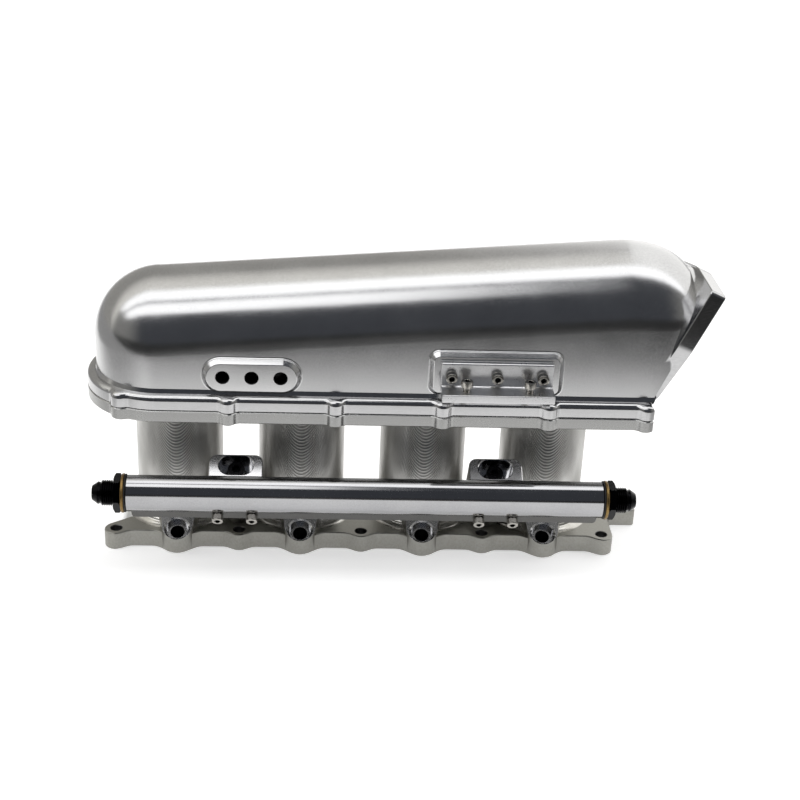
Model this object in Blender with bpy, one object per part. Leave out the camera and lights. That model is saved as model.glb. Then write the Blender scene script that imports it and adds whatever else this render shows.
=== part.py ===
"""Billet intake manifold of a four-cylinder engine, standing on its cylinder-head face.

The plenum bolts to a runner block, which carries a fuel rail on two brackets.
Axes: +X along the engine towards the throttle, +Y away from the injectors, +Z from the head to the plenum.
The origin is the middle of the cylinder-head face. Lengths are in metres.
"""

import math

import bmesh
import bpy
from mathutils import Matrix, Vector

GAP = 0.0003  # air left between two pieces that touch

# Cylinder-head flange and the ports in it
PORT_PITCH = 0.094
PORT_X = [(i - 1.5) * PORT_PITCH for i in range(4)]
BETWEEN_PORTS_X = [(i - 2) * PORT_PITCH for i in range(5)]
HEAD_THICKNESS = 0.014
HEAD_EDGE_Y = 0.039
HEAD_BOLT_Y = 0.036
HEAD_BOLT_RADIUS = 0.0045
HEAD_LOBE = 0.006
INJECTOR_LOBE = 0.0095
INJECTOR_BOSS = (-0.0378, 0.013)
EAR_RADIUS = 0.009
REAR_EAR = (-0.176, 0.028)
COOLANT_EAR = (0.211, 0.014)

# Runner tubes
RUNNER_RADIUS = 0.033
RUNNER_FOOT_DEPTH = 0.029
RUNNER_FILLET = 0.008
PORT_HALF = (0.029, 0.0195)
BORE_RADIUS = 0.0275
BELLMOUTH = 0.007

# Joint between the runner block and the plenum
BASE_LOW = 0.1155
SEAM = 0.125
RIM_HIGH = 0.1365
RIM_ROUND = 0.004
RIM_HALF = 0.057
RIM_RIGHT = 0.211
BOSS_HALF = 0.0545
BOSS_RADIUS = 0.0067
BOSS_X = [-0.1005, -0.022, 0.0565, 0.135, 0.2077]
LEFT_CENTRE = -0.152
LEFT_BOSS_ANGLE = math.radians(120)
SEAL_HALF = 0.0475
SEAL_RADIUS = 0.0011
SEAL_RIGHT = 0.200

# Plenum
PLENUM_RADIUS = 0.050
PLENUM_WALL = 0.0055
AXIS_HEIGHT = 0.1765
AXIS_SLOPE = 0.0816
RIGHT_START = 0.190
RIGHT_END = 0.243

# Throttle flange, in its own frame: x across, y up along the plate, z out of the face
THROTTLE_TILT = math.radians(24.4)
THROTTLE_CENTRE = Vector((0.2358, 0, 0.1741))
THROTTLE_BORE = 0.037
THROTTLE_THICKNESS = 0.012
THROTTLE_BOLT = 0.034
THROTTLE_OUTLINE = [
    (-0.050, 0.047),
    (0.000, 0.047),
    (0.050, 0.038),
    (0.050, 0.000),
    (0.043, -0.047),
    (-0.041, -0.047),
    (-0.050, 0.001),
]
THROTTLE_CORNERS = [0.003, 0.05, 0.008, 0.05, 0.008, 0.008, 0.05]

# Pads on the front wall of the plenum
PAD_PROUD = 0.0045
VACUUM_PAD = (-0.0833, 0.1514)
VACUUM_PITCH = 0.021
VACUUM_RADIUS = 0.0046
VACUUM_HALF = (0.0325, 0.0103)
BRACKET_PAD = (0.0945, 0.157)
BRACKET_PAD_HALF = (0.0455, 0.0140)

# Accessory bracket, an angle screwed to its pad
BRACKET_X = (0.054, 0.1355)
BRACKET_Z = (0.144, 0.168)
BRACKET_PLATE = 0.0037
BRACKET_LEDGE = 0.016
LEDGE_THICKNESS = 0.006
BRACKET_SCREW_X = [0.0612, 0.0945, 0.1278]
BRACKET_SCREW_Z = 0.1575
LEDGE_SCREW_X = [0.072, 0.118]
LEDGE_SCREW_PROUD = 0.0034

# Fuel rail, in the injector frame: x along the rail, y back, z up along the injectors
INJECTOR_TILT = math.radians(31)
RAIL_CENTRE = Vector((0, -0.070, 0.0637))
RAIL_X = (-0.174, 0.178)
RAIL_RADIUS = 0.0135
RAIL_BORE = 0.0082
RAIL_FOOT_HALF = 0.011
RAIL_FOOT_LOW = -0.0165
RAIL_FOOT_INSET = 0.003
FITTING_BORE = 0.0097
FITTING_DEPTH = 0.012
CUP_RADIUS = 0.007
CUP_TOP = -0.0085
RAIL_SCREW_LOW = -0.0122
INJECTOR_FACE = -0.053
SEAT_RADIUS = 0.0087
SEAT_DEPTH = 0.006
SPRAY_RADIUS = 0.0055
MOUNT_X = [-0.095, 0.099]
MOUNT_SCREW_OFFSET = 0.0126
MOUNT_HALF = 0.020
MOUNT_TOP = 0.0057
MOUNT_DEPTH = 0.020
MOUNT_BOLT_BACK = 0.022
MOUNT_POCKET_DEPTH = 0.014
POST_RADIUS = 0.010
POST_LENGTH = 0.050

# Screws: (shank radius, head radius, head height, hexagon across its flats)
M5 = (0.0025, 0.00425, 0.005, 0.004)
M6 = (0.0030, 0.0050, 0.006, 0.005)
M8 = (0.0040, 0.0065, 0.008, 0.006)

ROUND = 24  # sides of an ordinary round hole
COLOURS = {
    "machined_aluminium": ((0.66, 0.66, 0.67), 1.0, 0.30),
    "blasted_aluminium": ((0.72, 0.72, 0.73), 1.0, 0.28),
    "polished_aluminium": ((0.80, 0.80, 0.81), 1.0, 0.12),
    "steel": ((0.62, 0.60, 0.58), 1.0, 0.25),
    "black_steel": ((0.03, 0.03, 0.032), 1.0, 0.40),
    "black_anodised": ((0.012, 0.012, 0.014), 1.0, 0.30),
    "rubber": ((0.02, 0.02, 0.02), 0.0, 0.60),
    "gold_washer": ((0.33, 0.22, 0.08), 1.0, 0.35),
}

for old in list(bpy.data.objects):
    bpy.data.objects.remove(old)
parts = bpy.data.collections.new("intake_manifold")
cutters = bpy.data.collections.new("cutters")
bpy.context.scene.collection.children.link(parts)
bpy.context.scene.collection.children.link(cutters)


# ---------------------------------------------------------------- frames

def columns(x, y, z, origin):
    """A frame from its three axes and its origin."""
    return Matrix.Translation(origin) @ Matrix((x, y, z)).transposed().to_4x4()


INJECTOR = Matrix.Translation(RAIL_CENTRE) @ Matrix.Rotation(INJECTOR_TILT, 4, "X")
THROTTLE = columns(
    (0, 1, 0),
    (math.sin(THROTTLE_TILT), 0, math.cos(THROTTLE_TILT)),
    (math.cos(THROTTLE_TILT), 0, -math.sin(THROTTLE_TILT)),
    THROTTLE_CENTRE,
)
FRONT = columns((1, 0, 0), (0, 0, 1), (0, -1, 0), (0, 0, 0))  # z towards the viewer
ALONG = columns((0, 1, 0), (0, 0, 1), (1, 0, 0), (0, 0, 0))  # z along the engine


# ---------------------------------------------------------------- meshes

def material(name):
    """The Principled material of that name, made once."""
    made = bpy.data.materials.get(name)
    if made is None:
        colour, metallic, roughness = COLOURS[name]
        made = bpy.data.materials.new(name)
        made.use_nodes = True
        shader = made.node_tree.nodes["Principled BSDF"]
        shader.inputs["Base Color"].default_value = (*colour, 1)
        shader.inputs["Metallic"].default_value = metallic
        shader.inputs["Roughness"].default_value = roughness
    return made


def place(name, mesh, group, frame=None):
    obj = bpy.data.objects.new(name, mesh)
    obj.matrix_world = frame or Matrix.Identity(4)
    group.objects.link(obj)
    return obj


def finished(name, bm, frame=None):
    """An object in the cutters collection from a bmesh, with its faces flat and pointing out."""
    bmesh.ops.connect_verts_nonplanar(bm, angle_limit=math.radians(0.01), faces=bm.faces[:])
    bmesh.ops.recalc_face_normals(bm, faces=bm.faces)
    mesh = bpy.data.meshes.new(name)
    bm.to_mesh(mesh)
    bm.free()
    obj = place(name, mesh, cutters, frame)
    obj.hide_render = True
    obj.display_type = "WIRE"
    return obj


def trim(bm, point, normal):
    """Cuts away what lies beyond a plane and closes the cut."""
    everything = bm.verts[:] + bm.edges[:] + bm.faces[:]
    cut = bmesh.ops.bisect_plane(
        bm, geom=everything, plane_co=point, plane_no=normal, clear_outer=True
    )["geom_cut"]
    edges = [e for e in cut if isinstance(e, bmesh.types.BMEdge)]
    bmesh.ops.contextual_create(bm, geom=edges)


def loft_mesh(rings, capped=True):
    """Rings of points with the same count, joined one to the next. Uncapped, the last joins the first."""
    bm = bmesh.new()
    loops = [[bm.verts.new(p) for p in ring] for ring in rings]
    pairs = list(zip(loops, loops[1:]))
    if not capped:
        pairs.append((loops[-1], loops[0]))
    for low, high in pairs:
        for i, corner in enumerate(low):
            bm.faces.new((low[i - 1], corner, high[i], high[i - 1]))
    if capped:
        bm.faces.new(loops[0])
        bm.faces.new(loops[-1])
    return bm


def prism(name, outline, low, high, frame=None):
    """An outline in a frame's x and y, from low to high along its z."""
    bm = loft_mesh([[(x, y, z) for x, y in outline] for z in (low, high)])
    return finished(name, bm, frame)


def cylinder(name, radius, low, high, frame=None, sides=ROUND, top_radius=None):
    """A cylinder or cone from low to high along a frame's z."""
    bm = bmesh.new()
    middle = Matrix.Translation((0, 0, (low + high) / 2))
    bmesh.ops.create_cone(
        bm,
        cap_ends=True,
        segments=sides,
        radius1=radius,
        radius2=radius if top_radius is None else top_radius,
        depth=high - low,
        matrix=middle,
    )
    return finished(name, bm, frame)


def turned(name, profile, frame, sides=ROUND):
    """A solid of revolution about a frame's z from its (height, radius) pairs, low to high."""
    turns = [2 * math.pi * i / sides for i in range(sides)]
    rings = [[(r * math.cos(a), r * math.sin(a), z) for a in turns] for z, r in profile]
    return finished(name, loft_mesh(rings), frame)


def boolean(target, operation, others):
    for other in others:
        modifier = target.modifiers.new(other.name, "BOOLEAN")
        modifier.operation = operation
        modifier.object = other


def node(name, body, surface, add=(), cut=()):
    """Turns a cutter-collection body into a part of its own, joined to some bodies and cut by others."""
    boolean(body, "UNION", add)
    boolean(body, "DIFFERENCE", cut)
    cutters.objects.unlink(body)
    parts.objects.link(body)
    body.name = name
    body.hide_render = False
    body.display_type = "TEXTURED"
    body.data.materials.append(material(surface))
    return body


def solid_mesh(body):
    """The body's evaluated mesh, for copies to share. The body goes."""
    graph = bpy.context.evaluated_depsgraph_get()
    mesh = bpy.data.meshes.new_from_object(body.evaluated_get(graph))
    bpy.data.objects.remove(body)
    return mesh


# ---------------------------------------------------------------- outlines

def arc(centre, radius, start, end, steps):
    """Points on an arc, angles in degrees."""
    turns = [math.radians(start + (end - start) * i / steps) for i in range(steps + 1)]
    return [(centre[0] + radius * math.cos(a), centre[1] + radius * math.sin(a)) for a in turns]


def bump(distance, half_width):
    """A smooth hump, 1 in its middle and 0 at its ends."""
    return 0.5 + 0.5 * math.cos(math.pi * min(1, abs(distance) / half_width))


def rounded(corners, radii, steps=4):
    """A closed outline with each corner replaced by an arc."""
    points = []
    count = len(corners)
    for i, (corner, radius) in enumerate(zip(corners, radii)):
        here = Vector(corner)
        back = (Vector(corners[i - 1]) - here).normalized()
        ahead = (Vector(corners[(i + 1) % count]) - here).normalized()
        half = back.angle(ahead) / 2
        centre = here + (back + ahead).normalized() * radius / math.sin(half)
        first = here + back * radius / math.tan(half) - centre
        last = here + ahead * radius / math.tan(half) - centre
        sweep = first.angle_signed(last)
        for k in range(steps + 1):
            turned = first.copy()
            turned.rotate(Matrix.Rotation(-sweep * k / steps, 2))
            points.append(tuple(centre + turned))
    return points


def rectangle(half_x, half_y, radius, steps=4):
    corners = [(-half_x, -half_y), (half_x, -half_y), (half_x, half_y), (-half_x, half_y)]
    return rounded(corners, [radius] * 4, steps)


def shifted(outline, offset):
    return [(x + offset[0], y + offset[1]) for x, y in outline]


def head_outline():
    """The cylinder-head flange: lobes for its bolts and injectors, an ear at the throttle end."""
    left, right = BETWEEN_PORTS_X[0], BETWEEN_PORTS_X[-1]
    count = 4 * 12
    front = []
    for i in range(1, count):
        x = left + (right - left) * i / count
        bolts = max(bump(x - b, 0.014) for b in BETWEEN_PORTS_X) * HEAD_LOBE
        injectors = max(bump(x - p, 0.021) for p in PORT_X) * INJECTOR_LOBE
        front.append((x, -HEAD_EDGE_Y - bolts - injectors))
    rear_bolts = BETWEEN_PORTS_X[1:4]
    offsets = (0.014, 0.007, 0, -0.007, -0.014)
    rear = [
        (b + d, HEAD_EDGE_Y + HEAD_LOBE * bump(d, 0.014))
        for b in reversed(rear_bolts)
        for d in offsets
    ]
    right_side = [(right + EAR_RADIUS, -0.005), (0.1985, -0.001), (0.201, 0.0015), (0.204, 0.002)]
    coolant_x, coolant_y = COOLANT_EAR
    return (
        arc((left, -HEAD_BOLT_Y), EAR_RADIUS, 130, 270, 8)
        + front
        + arc((right, -HEAD_BOLT_Y), EAR_RADIUS, 270, 360, 6)
        + right_side
        + arc((coolant_x + 0.008, 0.005), 0.003, 270, 360, 3)
        + arc((coolant_x, coolant_y + 0.002), 0.011, 0, 90, 6)
        + [(0.200, 0.029), (0.188, HEAD_EDGE_Y)]
        + rear
        + [(-0.130, HEAD_EDGE_Y)]
        + arc(REAR_EAR, 0.0105, 80, 190, 8)
        + arc((PORT_X[0], 0), RUNNER_RADIUS + 0.006, 165, 205, 5)
    )


def boss_steps():
    """Distances from a boss at which the rim outline has points."""
    return [BOSS_RADIUS * 1.5 * i / 3 for i in range(-3, 4)]


def rim_outline(inset=0.0):
    """The bolted rim between the plenum and the runner block, seen from above."""
    half = RIM_HALF - inset
    proud = BOSS_HALF + BOSS_RADIUS - RIM_HALF
    reach = BOSS_RADIUS * 1.5
    front = [(LEFT_CENTRE, -half)]
    front += [
        (x + d, -half - proud * bump(d, reach)) for x in BOSS_X[:-1] for d in boss_steps()
    ]
    corner_x = BOSS_X[-1]
    front += [(corner_x - reach, -half), (corner_x - reach * 0.7, -half - proud * 0.2)]
    corner = arc((corner_x, -BOSS_HALF), BOSS_RADIUS - inset, 240, 375, 5)
    edge = RIM_RIGHT - inset
    side = [(edge, -BOSS_HALF + reach)]
    side += [(edge + proud * bump(d, reach), d) for d in boss_steps() if d <= 0]
    lower = front + corner + side
    upper = [(x, -y) for x, y in reversed(lower) if y < 0]
    left = []
    for i in range(1, 24):
        angle = math.radians(90 + 7.5 * i)
        off = min(abs(angle - LEFT_BOSS_ANGLE), abs(angle - 2 * math.pi + LEFT_BOSS_ANGLE))
        radius = half + proud * bump(off * BOSS_HALF, reach)
        left.append((LEFT_CENTRE + radius * math.cos(angle), radius * math.sin(angle)))
    return lower + upper + left


def seal_outline(half):
    """The seal's path, or a line beside it, at a half width from the plenum's middle plane."""
    right = SEAL_RIGHT + half - SEAL_HALF
    corner = 0.010 + half - SEAL_HALF
    return (
        arc((LEFT_CENTRE, 0), half, 90, 270, 18)
        + arc((right - corner, corner - half), corner, 270, 360, 5)
        + arc((right - corner, half - corner), corner, 0, 90, 5)
    )


# ---------------------------------------------------------------- screws

def cap_screw_mesh(size, length, name):
    """A socket head cap screw along z, with the underside of its head at the origin."""
    shank, head, height, flats = size
    body = cylinder(name, shank, -length, height / 2, sides=10)
    crown = cylinder(name + "_head", head, 0, height, sides=16)
    socket = cylinder(name + "_socket", flats / math.sqrt(3), height * 0.45, height * 1.2, sides=6)
    boolean(body, "UNION", [crown])
    boolean(body, "DIFFERENCE", [socket])
    mesh = solid_mesh(body)
    return mesh


def screws(names, mesh, surface, frames):
    mesh.materials.clear()
    mesh.materials.append(material(surface))
    return [place(name, mesh, parts, frame) for name, frame in zip(names, frames)]


# ---------------------------------------------------------------- runner block

def ellipse(centre_x, half_x, half_y, z, sides=24):
    turns = [2 * math.pi * i / sides for i in range(sides)]
    return [(centre_x + half_x * math.cos(a), half_y * math.sin(a), z) for a in turns]


def runner_tube(x):
    """The outside of a runner, with a fillet where it meets the head flange."""
    low = HEAD_THICKNESS
    rings = [ellipse(x, RUNNER_RADIUS + RUNNER_FILLET, RUNNER_FOOT_DEPTH + RUNNER_FILLET, low - 0.002)]
    for i in range(4):
        angle = math.pi / 2 * i / 3
        flare = RUNNER_FILLET * (1 - math.sin(angle))
        height = low + RUNNER_FILLET * (1 - math.cos(angle))
        rings.append(ellipse(x, RUNNER_RADIUS + flare, RUNNER_FOOT_DEPTH + flare, height))
    rings.append(ellipse(x, RUNNER_RADIUS, RUNNER_RADIUS, BASE_LOW + 0.001))
    return finished("runner_tube", loft_mesh(rings))


def runner_bore(x):
    """The air passage: an oval port at the head, a round bore, a bellmouth in the plenum."""
    rings = [
        ellipse(x, *PORT_HALF, -0.002),
        ellipse(x, *PORT_HALF, 0.004),
        ellipse(x, 0.0285, 0.024, 0.055),
        ellipse(x, BORE_RADIUS, BORE_RADIUS, 0.100),
    ]
    start = SEAM - GAP - BELLMOUTH
    for i in range(3):
        angle = math.pi / 2 * i / 2
        radius = BORE_RADIUS + BELLMOUTH * (1 - math.cos(angle))
        rings.append(ellipse(x, radius, radius, start + BELLMOUTH * math.sin(angle)))
    rings.append(ellipse(x, BORE_RADIUS + BELLMOUTH, BORE_RADIUS + BELLMOUTH, SEAM + 0.002))
    return finished("runner_bore", loft_mesh(rings))


def injector_boss(x):
    """A boss on the head flange, cut square to its injector."""
    centre_y, radius = INJECTOR_BOSS
    outline = [(x - 0.0145, -0.018)]
    outline += arc((x, centre_y), radius, 190, 350, 10)
    outline += [(x + 0.0145, -0.018)]
    bm = loft_mesh([[(px, py, z) for px, py in outline] for z in (0.0015, 0.040)])
    trim(bm, INJECTOR @ Vector((x, 0, INJECTOR_FACE)), INJECTOR.to_3x3() @ Vector((0, 0, 1)))
    return finished("injector_boss", bm)


def injector_cuts(x):
    seat = cylinder("seat", SEAT_RADIUS, -SEAT_DEPTH, 0.01, at(x, 0, INJECTOR_FACE))
    spray = cylinder("spray", SPRAY_RADIUS, -0.032, 0.001, at(x, 0, INJECTOR_FACE), 16)
    return [seat, spray]


def at(x, y, z):
    """The injector frame, moved to a point given in it."""
    return INJECTOR @ Matrix.Translation((x, y, z))


def rail_post(x):
    """The inclined post that a rail bracket bolts to, and the web at its foot."""
    face = RAIL_FOOT_LOW - GAP
    post = cylinder("post", POST_RADIUS, -POST_LENGTH, 0, at(x, MOUNT_BOLT_BACK, face))
    between = Matrix.Translation((math.copysign(PORT_PITCH, x), 0, 0))
    web = prism("web", rectangle(0.016, 0.009, 0.002), 0.012, 0.034, between)
    return [post, web]


def base_plate():
    """The runner block's top flange, with its lower edge broken."""
    levels = ((BASE_LOW, 0.0008), (BASE_LOW + 0.0008, 0), (SEAM - GAP, 0))
    rings = [[(x, y, z) for x, y in rim_outline(inset)] for z, inset in levels]
    return finished("base_plate", loft_mesh(rings))


def rim_bolt_places():
    places = [(x, side * BOSS_HALF) for side in (-1, 1) for x in BOSS_X]
    places.append((BOSS_X[-1], 0))
    for side in (-1, 1):
        angle = side * LEFT_BOSS_ANGLE
        places.append((LEFT_CENTRE + BOSS_HALF * math.cos(angle), BOSS_HALF * math.sin(angle)))
    return places


def seal_groove():
    half, low, high = 0.0014, SEAM - GAP - 0.0026, SEAM + 0.001
    section = [(-half, low), (half, low), (half, high), (-half, high)]
    rings = [[(x, y, z) for x, y in seal_outline(SEAL_HALF + d)] for d, z in section]
    return finished("groove", loft_mesh(rings, capped=False))


def build_runner_block():
    flange = prism("head_flange", head_outline(), 0, HEAD_THICKNESS)
    add = [base_plate()]
    cut = [seal_groove()]
    for x in PORT_X:
        add += [runner_tube(x), injector_boss(x)]
        cut += [runner_bore(x), *injector_cuts(x)]
    for x in MOUNT_X:
        add += rail_post(x)
        face = RAIL_FOOT_LOW - GAP
        cut.append(cylinder("post_hole", 0.0043, -0.021, 0.01, at(x, MOUNT_BOLT_BACK, face), 16))
    holes = [(x, -HEAD_BOLT_Y) for x in BETWEEN_PORTS_X]
    holes += [(x, HEAD_BOLT_Y) for x in BETWEEN_PORTS_X[1:4]]
    holes += [REAR_EAR, COOLANT_EAR]
    for x, y in holes:
        where = Matrix.Translation((x, y, 0))
        cut.append(cylinder("head_hole", HEAD_BOLT_RADIUS, -0.01, 0.02, where, 16))
    for x, y in rim_bolt_places():
        where = Matrix.Translation((x, y, 0))
        cut.append(cylinder("rim_hole", 0.0033, BASE_LOW - 0.01, SEAM + 0.01, where, 10))
        cut.append(cylinder("rim_recess", 0.0054, BASE_LOW - 0.01, BASE_LOW + 0.0063, where, 16))
    node("runner_block", flange, "machined_aluminium", add, cut)


# ---------------------------------------------------------------- plenum

def plenum_stations(shrink):
    """(x, half width, height of the arch, height of its axis) along the plenum, shrunk all round."""
    radius = PLENUM_RADIUS - shrink
    stations = []
    for degrees in (87, 74, 60, 45, 30, 15):
        turn = math.radians(degrees)
        low = AXIS_HEIGHT + AXIS_SLOPE * LEFT_CENTRE
        width = radius * math.cos(turn)
        stations.append((LEFT_CENTRE - radius * math.sin(turn), width, width, low))
    for x in (LEFT_CENTRE, 0, RIGHT_START):
        stations.append((x, radius, radius, AXIS_HEIGHT + AXIS_SLOPE * x))
    length = RIGHT_END - shrink - RIGHT_START
    for share in (0.3, 0.5, 0.68, 0.82, 0.92):
        width = radius * (1 - share**3.4) ** (1 / 3.4)
        arch = radius * (1 - share**2.3) ** (1 / 2.3)
        high = AXIS_HEIGHT + AXIS_SLOPE * RIGHT_START
        stations.append((RIGHT_START + length * share, width, arch, high))
    return stations


def plenum_body(name, shrink, low, plane_depth):
    """The plenum's arched body, cut off square to the throttle at a depth behind its face."""
    rings = []
    sides = 16
    for x, width, arch, axis in plenum_stations(shrink):
        turns = [math.pi * i / sides for i in range(sides + 1)]
        ring = [(x, width * math.cos(a), axis + arch * math.sin(a)) for a in turns]
        rings.append([(x, width, low), *ring, (x, -width, low)])
    bm = loft_mesh(rings)
    trim(bm, THROTTLE @ Vector((0, 0, -plane_depth)), THROTTLE.to_3x3() @ Vector((0, 0, 1)))
    return finished(name, bm)


def rim():
    """The plenum's flange, with a rounded upper edge that runs round its bosses."""
    levels = [(SEAM, 0), (RIM_HIGH - RIM_ROUND, 0)]
    for degrees in (45, 90):
        turn = math.radians(degrees)
        inset = RIM_ROUND * (1 - math.cos(turn))
        levels.append((RIM_HIGH - RIM_ROUND + RIM_ROUND * math.sin(turn), inset))
    rings = [[(x, y, z) for x, y in rim_outline(inset)] for z, inset in levels]
    return finished("rim", loft_mesh(rings))


def pad(name, outline, centre):
    """A raised pad on the front wall, with its edge chamfered down to the wall."""
    rings = []
    for grow, proud in ((0.0040, -0.002), (0.0040, 0.0002), (0, PAD_PROUD)):
        shape = shifted(outline(grow), centre)
        rings.append([(x, y, PLENUM_RADIUS + proud) for x, y in shape])
    return finished(name, loft_mesh(rings), FRONT)


def vacuum_outline(grow):
    half_x, half_z = (h + grow for h in VACUUM_HALF)
    return rectangle(half_x, half_z, half_z - 1e-5, 8)


def bracket_pad_outline(grow):
    half_x, half_z = (h + grow for h in BRACKET_PAD_HALF)
    return rectangle(half_x, half_z, 0.004 + grow, 4)


def build_plenum():
    body = plenum_body("plenum_body", 0, SEAM + 0.002, THROTTLE_THICKNESS / 2)
    plate_outline = rounded(THROTTLE_OUTLINE, THROTTLE_CORNERS)
    plate = prism("throttle_plate", plate_outline, -THROTTLE_THICKNESS, 0, THROTTLE)
    neck = cylinder("neck", 0.0475, -0.045, -0.004, THROTTLE, 32)
    add = [
        rim(),
        plate,
        neck,
        pad("vacuum_pad", vacuum_outline, VACUUM_PAD),
        pad("bracket_pad", bracket_pad_outline, BRACKET_PAD),
    ]
    cavity = plenum_body("cavity", PLENUM_WALL, SEAM - 0.01, THROTTLE_THICKNESS + 0.005)
    cut = [cavity, cylinder("throttle_bore", THROTTLE_BORE, -0.060, 0.01, THROTTLE, 32)]
    for x in (-THROTTLE_BOLT, THROTTLE_BOLT):
        for y in (-THROTTLE_BOLT, THROTTLE_BOLT):
            where = THROTTLE @ Matrix.Translation((x, y, 0))
            cut.append(cylinder("throttle_hole", 0.0034, -0.0100, 0.01, where, 12))
    for step in (-1, 0, 1):
        where = FRONT @ Matrix.Translation((VACUUM_PAD[0] + step * VACUUM_PITCH, VACUUM_PAD[1], 0))
        cut.append(cylinder("vacuum_port", VACUUM_RADIUS, 0.040, 0.060, where, 20))
    for x in BRACKET_SCREW_X:
        where = FRONT @ Matrix.Translation((x, BRACKET_SCREW_Z, 0))
        cut.append(cylinder("pad_hole", 0.0028, 0.0465, 0.060, where, 14))
    for x, y in rim_bolt_places():
        where = Matrix.Translation((x, y, 0))
        cut.append(cylinder("rim_thread", 0.0033, SEAM - 0.01, SEAM + 0.0095, where, 10))
    node("plenum_shell", body, "blasted_aluminium", add, cut)


def build_seal():
    middle = SEAM - GAP - SEAL_RADIUS
    section = arc((0, middle), SEAL_RADIUS, 0, 315, 7)
    rings = [[(x, y, z) for x, y in seal_outline(SEAL_HALF + d)] for d, z in section]
    node("plenum_seal", finished("seal", loft_mesh(rings, capped=False)), "rubber")


def build_rim_bolts():
    mesh = cap_screw_mesh(M6, 0.012, "rim_bolt")
    flip = Matrix.Rotation(math.pi, 4, "X")
    under_head = BASE_LOW + 0.0063 - GAP
    places = [Matrix.Translation((x, y, under_head)) @ flip for x, y in rim_bolt_places()]
    names = [f"plenum_bolt_{i + 1:02d}" for i in range(len(places))]
    screws(names, mesh, "steel", places)


# ---------------------------------------------------------------- accessory bracket

def build_bracket():
    back = PLENUM_RADIUS + PAD_PROUD + GAP
    front = back + BRACKET_PLATE
    low, high = BRACKET_Z
    ledge = low + LEDGE_THICKNESS
    profile = [
        (-back, low),
        (-back, high),
        (-front + 0.0008, high),
        (-front, high - 0.0008),
        (-front, ledge),
        (-front - BRACKET_LEDGE, ledge),
        (-front - BRACKET_LEDGE, low),
    ]
    body = prism("angle", profile, *BRACKET_X, ALONG)
    cut = []
    for x in BRACKET_SCREW_X:
        where = FRONT @ Matrix.Translation((x, BRACKET_SCREW_Z, 0))
        cut.append(cylinder("screw_hole", 0.0029, 0.05, 0.07, where, 16))
    ledge_y = -front - BRACKET_LEDGE / 2
    for x in LEDGE_SCREW_X:
        where = Matrix.Translation((x, ledge_y, 0))
        cut.append(cylinder("clamp_hole", 0.0029, low - 0.01, ledge + 0.01, where, 16))
    node("accessory_bracket", body, "polished_aluminium", (), cut)

    mesh = cap_screw_mesh(M5, 0.010, "bracket_screw")
    places = [
        FRONT @ Matrix.Translation((x, BRACKET_SCREW_Z, front + GAP)) for x in BRACKET_SCREW_X
    ]
    names = ["bracket_screw_left", "bracket_screw_middle", "bracket_screw_right"]
    screws(names, mesh, "steel", places)
    mesh = cap_screw_mesh(M5, 0.012, "clamp_screw")
    places = [Matrix.Translation((x, ledge_y, ledge + LEDGE_SCREW_PROUD)) for x in LEDGE_SCREW_X]
    screws(["clamp_screw_left", "clamp_screw_right"], mesh, "steel", places)


# ---------------------------------------------------------------- fuel rail

def rail_turn():
    """The injector frame turned so that its z runs along the rail and its y along the injectors."""
    return INJECTOR @ columns((0, 1, 0), (0, 0, 1), (1, 0, 0), (0, 0, 0))


def build_rail():
    low, high = RAIL_X
    lathe = rail_turn()
    edge = RAIL_RADIUS - 0.001
    profile = [(low, edge), (low + 0.001, RAIL_RADIUS), (high - 0.001, RAIL_RADIUS), (high, edge)]
    body = turned("rail_tube", profile, lathe, 32)
    half = RAIL_FOOT_HALF
    foot_outline = [(-half, RAIL_FOOT_LOW), (half, RAIL_FOOT_LOW), (half, 0), (-half, 0)]
    foot = prism("foot", foot_outline, low + RAIL_FOOT_INSET, high - RAIL_FOOT_INSET, lathe)
    cut = [cylinder("rail_bore", RAIL_BORE, low - 0.01, high + 0.01, lathe, 20)]
    cut.append(cylinder("port_left", FITTING_BORE, low - 0.01, low + FITTING_DEPTH, lathe, 20))
    cut.append(cylinder("port_right", FITTING_BORE, high - FITTING_DEPTH, high + 0.01, lathe, 20))
    for x in PORT_X:
        cut.append(cylinder("cup", CUP_RADIUS, RAIL_FOOT_LOW - 0.01, CUP_TOP, at(x, 0, 0), 16))
        cut.append(cylinder("feed", 0.004, CUP_TOP - 0.001, 0, at(x, 0, 0), 10))
    for frame in rail_screw_frames(0):
        cut.append(cylinder("through_hole", 0.0028, -0.03, 0.01, frame, 10))
    node("fuel_rail", body, "polished_aluminium", [foot], cut)


def rail_screw_frames(clearance):
    """Frames at the foot's front face, their z out of it, one for each screw."""
    facing = columns((1, 0, 0), (0, 0, 1), (0, -1, 0), (0, 0, 0))
    spots = [x + side * MOUNT_SCREW_OFFSET for x in MOUNT_X for side in (-1, 1)]
    front = -RAIL_FOOT_HALF - clearance
    return [at(x, front, RAIL_SCREW_LOW) @ facing for x in spots]


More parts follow.
